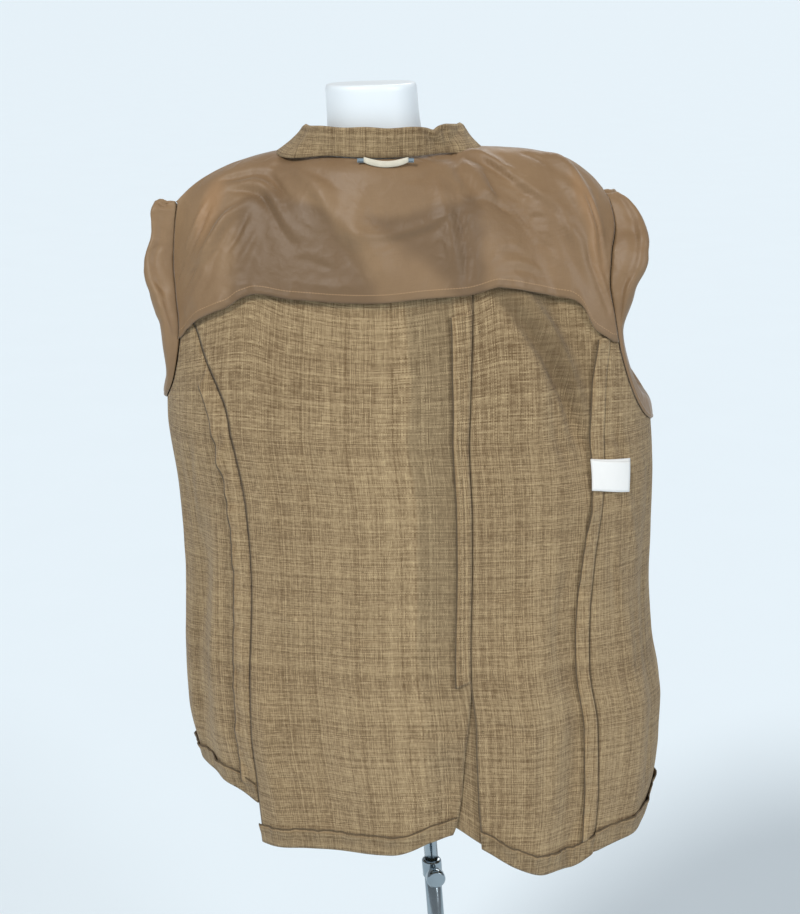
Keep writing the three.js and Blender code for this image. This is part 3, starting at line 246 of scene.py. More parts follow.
LINING_CREASES = [
    (-50.4, 1329, -31, 1284, -2.2, 4, 3), (-46, 1336, -28, 1290, 1.6, 6, 3),
    (-41, 1330, -34, 1306, -0.8, 3, 2), (-32, 1290, -23, 1272, -1.0, 6, -4),
    (-9.7, 1340, 0, 1238, 2.6, 15, -9), (-16, 1330, -7, 1250, -1.6, 12, -6),
    (13.9, 1388, 15.5, 1305, -2.8, 4.5, -3), (15.5, 1305, 34, 1240, -2.6, 4.5, 6),
    (17.5, 1345, 20, 1290, 1.8, 6, -3), (20, 1292, 34.5, 1238, 2.0, 5, 5),
    (22, 1300, 33, 1256, -1.0, 3, 3), (-56, 1318, -63, 1270, -1.6, 4, 4),
    (-59, 1330, -66, 1285, 1.2, 4, 3), (-41, 1290, -46, 1256, -1.4, 5, 4),
    (-47, 1300, -56, 1248, 1.4, 6, 5), (-52, 1290, -64, 1240, -1.5, 5, 5),
    (-50, 1262, -62, 1222, 1.3, 6, 5), (-36, 1276, -43, 1236, 1.0, 6, 4),
    (-66, 1272, -71, 1258, -1.6, 3, 1), (11, 1306, 11.6, 1274, -2.2, 3, -1),
    (11.6, 1274, 10.8, 1236, -1.8, 3, 1), (10.6, 1306, -10, 1296, 1.2, 5, 5),
    (8.5, 1300, 8.6, 1246, 1.1, 5, 0), (24, 1338, 31, 1332, -0.7, 2, 2), (25, 1328, 32, 1318, 0.7, 2, -2),
    (27, 1310, 34, 1306, -0.7, 2, 1.5), (23, 1318, 29, 1306, 0.6, 2, 1.5),
    (18, 1252, 25, 1249, -0.8, 2.2, 2), (18, 1243, 28, 1238, 0.9, 2.4, 2.5),
    (21, 1238, 30, 1229, -0.9, 2.2, 2.5), (17, 1233, 24, 1231, 0.7, 2, 1),
    (29, 1282, 37, 1280, -0.8, 2.4, 4), (31, 1273, 40, 1262, 0.8, 2.4, 3),
    (30, 1262, 38, 1246, -0.9, 2.6, 3), (34, 1256, 40, 1236, 0.9, 3, 2),
    (38, 1300, 44, 1220, -1.6, 8, -6), (44, 1330, 50, 1240, 2.2, 11, 8), (52, 1320, 51, 1235, -1.5, 6, 4),
    (46, 1262, 51, 1205, -1.4, 5, -4), (49, 1240, 53, 1200, 1.2, 4, 2), (-30, 1350, -14, 1335, 0.8, 6, 4),
    (-24, 1262, -12, 1256, -0.6, 4, 3), (-20, 1246, -8, 1250, 0.6, 4, -3),
    (-58, 1222, -66, 1206, -1.2, 4, 2), (-44, 1222, -52, 1214, 0.8, 4, 2), (2, 1350, 6, 1322, 0.7, 7, 3),
    (-36, 1368, -40, 1345, 1.0, 7, 3), (36, 1370, 44, 1345, -1.0, 8, 3),
]
# The same on the sleeve heads, by degrees round the armhole and shares of the way over the roll
HEAD_CREASES = [
    (6, 0.10, 33, 0.17, -4.0, 4), (4, 0.26, 36, 0.30, 2.4, 5), (34, 0.12, 98, 0.22, -2.0, 3),
    (42, 0.30, 104, 0.40, 1.8, 5), (30, 0.46, 88, 0.58, -1.6, 4), (80, 0.16, 128, 0.08, -2.2, 3),
    (92, 0.50, 142, 0.42, 1.6, 5), (60, 0.05, 76, 0.30, -1.8, 3), (86, 0.30, 100, 0.04, -1.6, 3),
    (27, 0.0, 30, 0.5, -0.8, 3), (44, 0.0, 41, 0.4, -0.7, 3), (56, 0.0, 60, 0.4, -0.9, 3),
    (75, 0.0, 78, 0.5, -0.7, 3), (93, 0.0, 96, 0.5, -0.9, 3), (114, 0.0, 122, 0.6, -0.8, 3),
    (132, 0.1, 146, 0.8, 0.8, 6), (168, 0.2, 160, 0.8, -0.8, 6), (190, 0.1, 195, 0.8, 0.8, 7),
    (208, 0.0, 216, 0.5, -0.8, 4), (243, 0.0, 247, 0.6, -0.9, 3), (262, 0.12, 324, 0.20, -1.8, 3),
    (256, 0.34, 318, 0.42, 1.6, 5), (270, 0.55, 330, 0.46, -1.5, 4), (286, 0.04, 300, 0.28, -1.6, 3),
    (268, 0.0, 272, 0.5, -0.8, 3), (293, 0.0, 296, 0.6, -0.8, 3), (317, 0.0, 321, 0.5, -0.8, 3),
    (340, 0.1, 350, 0.2, -1.6, 4),
]
# And on the collar, by shares of its length and millimetres up it
COLLAR_CREASES = [
    (0.622, 31, 0.668, 5, -2.6, 4, 2), (0.645, 31, 0.70, 7, 1.7, 5, -2), (0.69, 32, 0.68, 5, -1.2, 4, 2),
    (0.78, 32, 0.69, 8, -1.6, 4, 2), (0.80, 30, 0.72, 3, 1.1, 5, 2), (0.22, 2, 0.26, 24, -1.2, 5, 2),
    (0.30, 4, 0.33, 30, 1.1, 6, -2), (0.42, 2, 0.44, 30, -0.8, 5, 1), (0.53, 4, 0.55, 32, 0.9, 6, 1),
]


class BlazerSizes(bpy.types.PropertyGroup):
    spacing: bpy.props.FloatProperty(
        name="Cloth spacing", description="Distance between the points of the cloth",
        default=0.0034, min=0.002, max=0.02, unit="LENGTH")
    creasing: bpy.props.FloatProperty(
        name="Creasing", description="Depth of the linen's creases, 1 as photographed",
        default=1.0, min=0.0, max=2.0, subtype="FACTOR")
    rumpling: bpy.props.FloatProperty(
        name="Rumpling", description="Height of the small unevenness all over the cloth",
        default=0.0006, min=0.0, max=0.003, unit="LENGTH")
    pitch: bpy.props.FloatProperty(
        name="Thread pitch", description="Distance between the linen's threads",
        default=0.00092, min=0.0003, max=0.003, unit="LENGTH")


def colour_property(name, description, default):
    return bpy.props.FloatVectorProperty(
        name=name, description=description, default=default, size=3,
        min=0.0, max=1.0, subtype="COLOR_GAMMA")


class BlazerColours(bpy.types.PropertyGroup):
    linen: colour_property("Linen", "Mean colour of the linen", (0.605, 0.512, 0.378))
    lining: colour_property("Lining", "Colour of the lining", (0.53, 0.425, 0.305))
    strap: colour_property("Strap", "Colour of the hanging strap", (0.87, 0.84, 0.76))
    label: colour_property("Label", "Colour of the bare care label", (0.93, 0.93, 0.92))
    form: colour_property("Form", "Colour of the dress form", (0.91, 0.94, 0.96))
    floor: colour_property("Floor", "Colour of the floor, which fills the view", (0.89, 0.932, 0.96))


def sizes():
    return bpy.context.scene.blazer_sizes


def colours():
    return bpy.context.scene.blazer_colours


# Curves and the map of the cloth, in millimetres

def curve(points):
    """A smooth curve through pairs of key and value that never runs past them"""
    keys, values = np.array(points, float).T
    rise = np.diff(values) / np.diff(keys)
    before, after = rise[:-1], rise[1:]
    same = before * after > 0
    inner = np.where(same, 2 * before * after / np.where(same, before + after, 1), 0)
    slopes = np.concatenate([rise[:1], inner, rise[-1:]])

    def at(place):
        place = np.clip(place, keys[0], keys[-1])
        i = np.clip(np.searchsorted(keys, place) - 1, 0, len(keys) - 2)
        span = keys[i + 1] - keys[i]
        t = (place - keys[i]) / span
        bend = t * t * (3 - 2 * t)
        turn = slopes[i] * t * (1 - t) ** 2 - slopes[i + 1] * t * t * (1 - t)
        return values[i] + (values[i + 1] - values[i]) * bend + span * turn
    return at


def curves(rows):
    """One curve for each column of a table, by its first column"""
    return [curve([(row[0], row[n]) for row in rows]) for n in range(1, len(rows[0]))]


def spread(values):
    """A curve from 0 to 1 through evenly spaced values"""
    return curve([(i / (len(values) - 1), value) for i, value in enumerate(values)])


def mix(low, high, share):
    return low + (high - low) * share


def ease(value, low, high):
    """From 0 at low to 1 at high, with soft ends"""
    t = np.clip((value - low) / (high - low), 0, 1)
    return t * t * (3 - 2 * t)


def unit(vectors):
    return vectors / np.maximum(np.linalg.norm(vectors, axis=-1, keepdims=True), 1e-9)


def across(values):
    """One number for each point, ready to scale its three coordinates"""
    return np.asarray(values)[..., None]


BODY_LEFT, BODY_RIGHT, BODY_BACK, BODY_FRONT = curves(SECTIONS)
TOP_X, TOP_Y, TOP_Z = curves(TOP_LINE)


def section(angle, z):
    """A point of the body at or below the chest"""
    s, c = np.sin(np.radians(angle)), np.cos(np.radians(angle))
    left, right = BODY_LEFT(z), BODY_RIGHT(z)
    depth = np.where(c > 0, BODY_BACK(z), BODY_FRONT(z))
    x = (left + right) / 2 + (right - left) / 2 * np.sign(s) * np.abs(s) ** SQUARENESS
    y = -depth * np.sign(c) * np.abs(c) ** SQUARENESS
    return np.stack([x, y, z + 0 * x], -1)


def smooth_body(angle, w):
    """The body before its folds. Above the chest it bends in to the line over the shoulders."""
    t = across(np.clip((w - CHEST) / (CREST - CHEST), 0, 1))
    start = section(angle, np.minimum(w, CHEST))
    end = np.stack([TOP_X(angle), TOP_Y(angle), TOP_Z(angle)], -1)
    end[..., 1] -= SHOULDER_GAP * np.clip(22 * np.cos(np.radians(angle)), -1, 1)
    rise = end[..., 2] - CHEST
    inwards = end - start
    reach = np.minimum(1, np.hypot(inwards[..., 0], inwards[..., 1]) / FAR_IN)
    first = start.copy()
    first[..., 2] = CHEST + rise * mix(*BEND_START, reach)
    second = (start + end) / 2
    second[..., 2] = end[..., 2] - rise * mix(*BEND_END, reach)
    back = 1 - t
    bent = back ** 3 * start + 3 * back ** 2 * t * first + 3 * back * t * t * second + t ** 3 * end
    return np.where(across(w) <= CHEST, start, bent)


def fold_height(folds, angle, w):
    """How far soft folds move the cloth at a place"""
    turn = np.where(angle > 180, angle - 360, angle)
    out = 0 * turn
    for from_angle, from_w, to_angle, to_w, height, wide in folds:
        long = (w - from_w) / (to_w - from_w)
        middle = mix(from_angle, to_angle, np.clip(long, -0.2, 1.2))
        fade = ease(long, -0.2, 0.25) * (1 - ease(long, 0.85, 1.25))
        out = out + height * fade * np.exp(-(((turn - middle) / wide) ** 2))
    return out


def crease_height(creases, x, y, beside=0.45):
    """Soft troughs and ridges along slightly bowed lines, each with a lower ripple beside it"""
    out = 0 * x
    for from_x, from_y, to_x, to_y, height, wide, bow in creases:
        long = np.array([to_x - from_x, to_y - from_y], float)
        length = np.hypot(*long)
        long /= length
        along = ((x - from_x) * long[0] + (y - from_y) * long[1]) / length
        side = (y - from_y) * long[0] - (x - from_x) * long[1]
        side = side - 4 * bow * np.clip(along, 0, 1) * (1 - np.clip(along, 0, 1))
        fade = ease(along, -0.12, 0.3) * (1 - ease(along, 0.62, 1.15))
        ripple = np.exp(-((side / wide) ** 2)) - beside * np.exp(-(((side - 1.7 * wide) / wide) ** 2))
        out = out + height * fade * ripple
    return out


def placed(creases, across_mm=DEGREE, along_mm=1):
    """Creases with the places of their ends made millimetres"""
    return [(from_x * across_mm, from_y * along_mm, to_x * across_mm, to_y * along_mm, *rest)
            for from_x, from_y, to_x, to_y, *rest in creases]


def rumple(x, y, seed):
    """Small smooth unevenness, from -1 to 1"""
    out = 0
    for n, (long, high) in enumerate([(71, 90), (43, 61), (29, 37), (19, 23), (13, 17)]):
        turn = seed * 1.7 + n * 2.3
        shift = 1.3 * np.sin(y / (2.6 * high) + turn)
        wave = np.sin(x / long * 2.2 + shift + turn) * np.sin(y / high * 2.1 + turn * 1.9 + shift)
        out = out + wave / (1.4 + 0.5 * n)
    return out / 2


def normal_of(surface, angle, w):
    """The way out of a surface of angle and height"""
    right = surface(angle + 0.6, w) - surface(angle - 0.6, w)
    up = surface(angle, np.minimum(w + 3, CREST)) - surface(angle, w - 3)
    return unit(np.cross(right, up))


def draped(angle, w):
    """The body with its soft folds"""
    return smooth_body(angle, w) + normal_of(smooth_body, angle, w) * across(fold_height(FOLDS, angle, w))


def on_cloth(angle, w, out):
    """A point that lies so far out from the draped body"""
    return draped(angle, w) + normal_of(draped, angle, w) * across(out)


def creased(angle, w, seed=1.0):
    """How far the linen's creases move it at a place"""
    turn = np.where(angle > 180, angle - 360, angle)
    out = crease_height(placed(CREASES), turn * DEGREE, w) * LINEN_GAIN * sizes().creasing
    return out + rumple(turn * DEGREE, w, seed) * sizes().rumpling / MM


# Making pieces

def grid_piece(name, place, columns, rows, thick, finish, tube=False):
    """A sheet bent from a flat grid. place(q, r) gives its points in millimetres for shares across
    and along, and a tube's first and last column are joined. The sheet gets the measure of its
    threads as UV, and the distances to its edges as attributes."""
    shape = bmesh.new()
    bmesh.ops.create_grid(shape, x_segments=columns, y_segments=rows, size=0.5)
    mesh = bpy.data.meshes.new(name)
    shape.to_mesh(mesh)
    shape.free()
    flat = np.empty(len(mesh.vertices) * 3)
    mesh.vertices.foreach_get("co", flat)
    q, r = (np.round(flat.reshape(-1, 3)[:, :2] + 0.5, 9)).T
    points = place(q, r) * MM
    mesh.vertices.foreach_set("co", points.ravel())
    net = points.reshape(rows + 1, columns + 1, 3)
    steps = np.linalg.norm(np.diff(net, axis=1), axis=2)
    x = np.concatenate([np.zeros((rows + 1, 1)), np.cumsum(steps, 1)], 1)
    steps = np.linalg.norm(np.diff(net, axis=0), axis=2)
    y = np.concatenate([np.zeros((1, columns + 1)), np.cumsum(steps, 0)], 0)
    middle = columns // 2
    u = x - x[:, middle:middle + 1]
    v = np.repeat(y[:, middle:middle + 1], columns + 1, 1)
    if hasattr(place, "threads"):
        u, v = (MM * side.reshape(u.shape) for side in place.threads(q, r))
    for layer, values in [("from_left", x), ("from_right", x[:, -1:] - x), ("from_low", y),
                          ("from_high", y[-1:] - y)]:
        mesh.attributes.new(layer, "FLOAT", "POINT").data.foreach_set("value", values.ravel())
    corners = np.empty(len(mesh.loops), int)
    mesh.loops.foreach_get("vertex_index", corners)
    threads = np.stack([u.ravel(), v.ravel()], 1)[corners]
    mesh.uv_layers.new(name="cloth").data.foreach_set("uv", threads.ravel())
    if tube:
        shape = bmesh.new()
        shape.from_mesh(mesh)
        bmesh.ops.remove_doubles(shape, verts=shape.verts, dist=1e-6)
        shape.to_mesh(mesh)
        shape.free()
    mesh.polygons.foreach_set("use_smooth", np.ones(len(mesh.polygons), bool))
    piece = bpy.data.objects.new(name, mesh)
    bpy.context.scene.collection.objects.link(piece)
    if thick:
        wall = piece.modifiers.new("Wall", "SOLIDIFY")
        wall.thickness = thick * MM
        wall.offset = 0
        wall.use_quality_normals = True
    piece.data.materials.append(finish)
    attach(piece, "root")
    wide, long = float(x[:, -1].max()), float(y[-1].max())
    corner = net[:-1, :-1]
    cells = np.linalg.norm(np.cross(net[:-1, 1:] - corner, net[1:, :-1] - corner), axis=2)
    piece["cut"] = (wide, long, float(cells.sum()))
    return piece


def cloth(name, node, place, wide, long, thick, finish, rests_on, tube=False):
    """A sheet of cloth that stands for a node, about wide by long millimetres"""
    step = sizes().spacing / MM
    columns, rows = max(4, round(wide / step)), max(4, round(long / step))
    piece = grid_piece(name, place, columns, rows, thick, finish, tube)
    if node:
        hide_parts(node)
    cut_wide, cut_long, area = piece["cut"]
    del piece["cut"]
    box = cut_wide * cut_long
    area = min(max(area, LEAST_COVER * box), box)


# Seams and edges on the map

def armhole(rows):
    """An armhole's angle and height by the turn round it, and the turn at a height on one side"""
    angle, w = curves(rows)

    def turn_at(height, top, bottom):
        high, low = top + 0 * height, bottom + 0 * height
        for _ in range(24):
            middle = (high + low) / 2
            above = w(middle) > height
            high, low = np.where(above, middle, high), np.where(above, low, middle)
        return (high + low) / 2
    return angle, w, turn_at


LEFT_HOLE, RIGHT_HOLE = armhole(ARMHOLE_LEFT), armhole(ARMHOLE_RIGHT)


def back_side(hole):
    """The armhole's edge towards the back: its angle by height"""
    return lambda w: hole[0](hole[2](w, 0, 180))


def front_side(hole):
    return lambda w: hole[0](hole[2](w, 360, 180))


def joined(lower, upper, at):
    """One line below a height and another above it"""
    return lambda w: np.where(w < at, lower(w), upper(w))


def crest_line(q):
    return CREST + 0 * q


def panel_lines(left, right, low, high=crest_line, bend=None):
    """The angle and height of a panel's points, by shares across and up it"""
    def lines(q, r):
        w = mix(low(q), high(q), r)
        angle = mix(left(w), right(w), q)
        return (angle + bend(q, r) if bend else angle), w
    return lines


def side_lines(left, right, low, hole, turn_left, turn_right):
    """The same for a side panel, which ends at the armhole"""
    def turn(q):
        return mix(turn_left, turn_right, q)

    def high(q):
        return hole[1](turn(q))

    def bend(q, r):
        w = high(q)
        return ease(r, 0.55, 1) * (hole[0](turn(q)) - mix(left(w), right(w), q))
    return panel_lines(left, right, low, high, bend)


LEFT_BACK, RIGHT_BACK = curve(LEFT_BACK_SEAM), curve(RIGHT_BACK_SEAM)
LEFT_FRONT, RIGHT_FRONT = curve(LEFT_FRONT_SEAM), curve(RIGHT_FRONT_SEAM)
CENTRE = curve(CENTRE_SEAM)
LEFT_EDGE, RIGHT_EDGE = curve(FRONT_LINE), curve(FRONT_LINE_RIGHT)
# Heights where the side seams meet the armholes
LEFT_BACK_TOP, RIGHT_BACK_TOP = 1232, 1215
LEFT_FRONT_TOP, RIGHT_FRONT_TOP = 1210, 1180


def turn_of(hole, w, top, bottom):
    return float(hole[2](np.array([float(w)]), top, bottom)[0])


PANELS = {
    "back_left": panel_lines(joined(LEFT_BACK, back_side(LEFT_HOLE), LEFT_BACK_TOP),
                             joined(curve(VENT_LEFT), CENTRE, VENT_TOP), spread(HEMS["back_left"])),
    "back_right": panel_lines(joined(curve(VENT_RIGHT), CENTRE, VENT_TOP),
                              joined(RIGHT_BACK, back_side(RIGHT_HOLE), RIGHT_BACK_TOP),
                              spread(HEMS["back_right"])),
    "front_left": panel_lines(LEFT_EDGE, joined(LEFT_FRONT, front_side(LEFT_HOLE), LEFT_FRONT_TOP),
                              spread(HEMS["front_left"][::-1])),
    "front_right": panel_lines(joined(RIGHT_FRONT, front_side(RIGHT_HOLE), RIGHT_FRONT_TOP), RIGHT_EDGE,
                               spread(HEMS["front_right"])),
    "side_left": side_lines(LEFT_FRONT, LEFT_BACK, spread(HEMS["side_left"]), LEFT_HOLE,
                            turn_of(LEFT_HOLE, LEFT_FRONT_TOP, 360, 180),
                            turn_of(LEFT_HOLE, LEFT_BACK_TOP, 0, 180)),
    "side_right": side_lines(RIGHT_BACK, RIGHT_FRONT, spread(HEMS["side_right"]), RIGHT_HOLE,
                             turn_of(RIGHT_HOLE, RIGHT_BACK_TOP, 0, 180),
                             turn_of(RIGHT_HOLE, RIGHT_FRONT_TOP, 360, 180)),
}
# About how wide and long each panel is, for the fineness of its grid
PANEL_SIZES = {"back_left": (240, 880), "back_right": (240, 900), "front_left": (300, 850),
               "front_right": (330, 850), "side_left": (250, 560), "side_right": (240, 560)}


def lap_lift(q, w):
    """How far the right front lifts over the left one"""
    return ease(q, 0.5, 0.8) * 3.4 * (1 - 0.8 * ease(w, BREAK_POINT, BREAK_POINT + 120))


def seam_dip(q, wide):
    """The cloth dips into its seams on both sides"""
    edge = np.minimum(q, 1 - q) * wide
    return -0.9 * np.exp(-((edge / 3.2) ** 2))


# Finishes, written as sums of sockets

class Value:
    """A number or vector that varies over a surface. Sums of values add their Math nodes."""

    def __init__(self, finish, socket):
        self.finish, self.socket = finish, socket

    def math(self, operation, *others):
        values = dict(enumerate((self, *others)))
        return self.finish.node("ShaderNodeMath", {"operation": operation}, values)

    def __add__(self, other):
        return self.math("ADD", other)

    def __mul__(self, other):
        return self.math("MULTIPLY", other)

    def __sub__(self, other):
        return self.math("SUBTRACT", other)

    def __rsub__(self, other):
        return (self * -1) + other

    def __truediv__(self, other):
        return self.math("DIVIDE", other)

    def __mod__(self, other):
        return self.math("FLOORED_MODULO", other)

    def __gt__(self, other):
        return self.math("GREATER_THAN", other)

    def __lt__(self, other):
        return self.math("LESS_THAN", other)

    __radd__, __rmul__ = __add__, __mul__

    def floor(self):
        return self.math("FLOOR")

    def sine(self):
        return self.math("SINE")

    def size(self):
        return self.math("ABSOLUTE")

    def ramp(self, low, high):
        """From 0 at low to 1 at high, with soft ends"""
        values = {0: self, 1: low, 2: high, 3: 0.0, 4: 1.0}
        return self.finish.node("ShaderNodeMapRange", {"interpolation_type": "SMOOTHSTEP"}, values)


class Finish:
    """A material for one kind of surface"""

    def __init__(self, name, **constants):
        self.material = bpy.data.materials.new(name)
        self.material.use_nodes = True
        self.tree = self.material.node_tree
        self.shader = self.tree.nodes["Principled BSDF"]
        for socket, value in constants.items():
            self.shader.inputs[socket.replace("_", " ")].default_value = value

    def node(self, kind, settings=None, values=None, output=0):
        """Add a node with its settings and inputs, and give one of its outputs"""
        node = self.tree.nodes.new(kind)
        for key, value in (settings or {}).items():
            setattr(node, key, value)
        for key, value in (values or {}).items():
            self.plug(value, node.inputs[key])
        return Value(self, node.outputs[output])

    def plug(self, value, socket):
        if isinstance(value, Value):
            self.tree.links.new(value.socket, socket)
        else:
            socket.default_value = value

    def set(self, **values):
        for socket, value in values.items():
            self.plug(value, self.shader.inputs[socket.replace("_", " ")])

    def threads(self):
        """Where a point lies across and along the cloth, in metres"""
        uv = self.node("ShaderNodeUVMap", {"uv_map": "cloth"})
        return (self.node("ShaderNodeSeparateXYZ", None, {0: uv}, 0),
                self.node("ShaderNodeSeparateXYZ", None, {0: uv}, 1))

    def place(self):
        return self.node("ShaderNodeTexCoord", None, None, "Object")

    def attribute(self, name):
        return self.node("ShaderNodeAttribute", {"attribute_name": name}, None, "Fac")

    def vector(self, x, y, z=0.0):
        return self.node("ShaderNodeCombineXYZ", None, {0: x, 1: y, 2: z})

    def noise(self, vector, scale=1.0, detail=2.0, rough=0.5):
        values = {"Vector": vector, "Scale": scale, "Detail": detail, "Roughness": rough}
        return self.node("ShaderNodeTexNoise", None, values)

    def random(self, number):
        return self.node("ShaderNodeTexWhiteNoise", {"noise_dimensions": "1D"}, {"W": number})

    def blend(self, factor, first, second):
        rgba = [c if isinstance(c, Value) else (*c, 1.0) for c in (first, second)]
        return self.node("ShaderNodeMix", {"data_type": "RGBA"}, {0: factor, 6: rgba[0], 7: rgba[1]}, 2)

    def bump(self, height, distance, strength=1.0):
        values = {"Height": height, "Distance": distance, "Strength": strength}
        self.set(Normal=self.node("ShaderNodeBump", None, values))


# Where the right back's soft fold begins, for the painted shade below it, and where light is painted
# on the lining, in metres of its threads
FOLD_U, FOLD_V = 0.083, 1.215
LIT_PLACES = ((-0.268, 1.318), (0.244, 1.290))


def shade(colour, factor, warm=0.0):
    """A linear colour from a display colour, made lighter or darker, and warmer"""
    linear = [c / 12.92 if c <= 0.04045 else ((c + 0.055) / 1.055) ** 2.4 for c in colour]
    return tuple(min(1.0, c * factor * (1 + warm * k)) for c, k in zip(linear, (1, 0, -1)))


def stitches(distance, along, at, step=0.0031, half=0.00045):
    """A line of stitches at a distance from an edge"""
    return ((distance - at).size() < half) * ((along / step) % 1.0 < 0.66)


def weave(finish, u, v, colour, tone):
    """The colour and the height of uneven threads both ways, with dark knots and pale slubs"""
    pitch = sizes().pitch
    x, y = u / pitch, v / pitch
    warp, weft = x.floor(), y.floor()
    warp_tone, weft_tone = finish.random(warp + 7.3), finish.random(weft + 61.7)
    warp_slub = finish.noise(finish.vector(warp * 7.31, v * 80.0, 2.0), 1.0, 2.0, 0.6)
    weft_slub = finish.noise(finish.vector(u * 80.0, weft * 7.31, 9.0), 1.0, 2.0, 0.6)
    over = (warp + weft) % 2.0
    warp_light = warp_tone * 0.52 + warp_slub.ramp(0.38, 0.72) * 0.48
    weft_light = weft_tone * 0.52 + weft_slub.ramp(0.38, 0.72) * 0.48
    light = (over * 0.5 + 0.25) * (warp_light - weft_light) + weft_light
    cloud = finish.noise(finish.place(), 9.0, 3.0, 0.5)
    dark, bright = shade(colour, 0.42 * tone, 0.14), shade(colour, 1.74 * tone, -0.06)
    base = finish.blend(light * 1.35 + cloud * 0.24 - 0.27, dark, bright)
    knots = finish.noise(finish.vector(u * 190.0, weft * 0.9, 4.0), 1.0, 1.0, 0.5)
    base = finish.blend(knots.ramp(0.73, 0.80) * 0.75, base, shade(colour, 0.24 * tone, 0.1))
    pale = finish.noise(finish.vector(u * 30.0, weft * 5.7, 14.0), 1.0, 1.0, 0.5)
    slub = pale.ramp(0.66, 0.76) * (1.0 - over) * 0.8
    base = finish.blend(slub, base, shade(colour, 1.75 * tone, -0.05))
    round_warp = ((x % 1.0) * math.pi).sine()
    round_weft = ((y % 1.0) * math.pi).sine()
    return base, over * (round_warp - round_weft) + round_weft + light * 1.2


def linen_finish(name, colour, tone=1.0, bound_and_shaded_edge=None, stitch_lines=(), greyer_band=None, shaded=None,
                 painted_fold_shade=False):
    """Slubby plain-weave linen. It can be bound along an edge with a painted shadow line at it, stitched at
    distances from edges, darker and greyer between two places across, painted with shadow beside a seam,
    and painted with shade below the soft fold."""
    finish = Finish(name, Roughness=0.86, Sheen_Weight=0.12, Sheen_Roughness=0.5,
                    Specular_IOR_Level=0.25)
    u, v = finish.threads()
    base, height = weave(finish, u, v, colour, tone)
    if greyer_band:
        # Darker and greyer in a band between two places across, more so higher up
        shifted = u + finish.noise(finish.vector(0.0, v * 14.0), 1.0, 2.0) * 0.006
        band = shifted.ramp(greyer_band[0], greyer_band[0] + 0.003) * shifted.ramp(greyer_band[1], greyer_band[1] - 0.004)
        strength = v.ramp(0.78, 0.95) * 0.22 + 0.08
        base = finish.blend(band * strength, base, shade(colour, 0.62, -0.12))
    if painted_fold_shade:
        # Painted shade below the soft fold, on the side turned from the light
        from_fold = (u - FOLD_U) * 0.65 + (v - FOLD_V) * 0.76
        shadow = from_fold.ramp(-0.005, 0.004) * from_fold.ramp(0.075, 0.004) * v.ramp(1.115, 1.175)
        base = finish.blend(shadow * 0.62, base, shade(colour, 0.42, 0.05))
    if shaded:
        # Painted shadow beside the seam, where the raised allowance shades it
        near = finish.attribute(shaded).ramp(0.0042, 0.0008)
        base = finish.blend(near * 0.7, base, shade(colour, 0.25))
    along = finish.attribute("from_low")
    for side, at in stitch_lines:
        line = stitches(finish.attribute(side), along, at)
        base = finish.blend(line * 0.7, base, shade(colour, 0.42))
    if bound_and_shaded_edge:
        edge = finish.attribute(bound_and_shaded_edge)
        thread = ((along + edge * 0.6) / 0.0018) % 1.0 < 0.5
        bound = (edge < 0.0045) * (thread * 0.4 + 0.12)
        base = finish.blend(bound, base, shade(colour, 1.1, 0.04))
        # A painted shadow line along the lifted edge
        base = finish.blend((edge < 0.0016) * 0.8, base, shade(colour, 0.22))
    finish.set(Base_Color=base)
    finish.bump(height, 0.0003, 0.8)
    return finish.material


def painted_shade_and_light(finish, u, v, base, colour):
    """Painted shade over the lining's back, lighter on a diagonal, and two painted light patches by the
    armholes
    """
    wander = finish.noise(finish.place(), 16.0, 2.0) * 0.03
    painted_hollow_shade = (v + wander).ramp(1.328, 1.310) * (u + wander * 2.0).ramp(-0.20, -0.16)
    painted_hollow_shade = painted_hollow_shade * (u + wander).ramp(0.092, 0.078)
    # A painted lighter diagonal through the shade
    middle = ((u + v * 0.734 + wander) - 0.915).size().ramp(0.036, 0.010)
    base = finish.blend(painted_hollow_shade * (middle * -0.9 + 0.95), base, shade(colour, 0.62, 0.04))
    # Painted warm light by the armholes
    for at_u, at_v in LIT_PLACES:
        across_it, along_it = u - at_u, v - at_v
        near = (across_it * across_it * 0.9 + along_it * along_it * 0.35) * 1000.0
        lit = (near + wander * 14.0).ramp(1.2, 0.1)
        base = finish.blend(lit * 0.42, base, shade(colour, 1.45, 0.14))
    return base


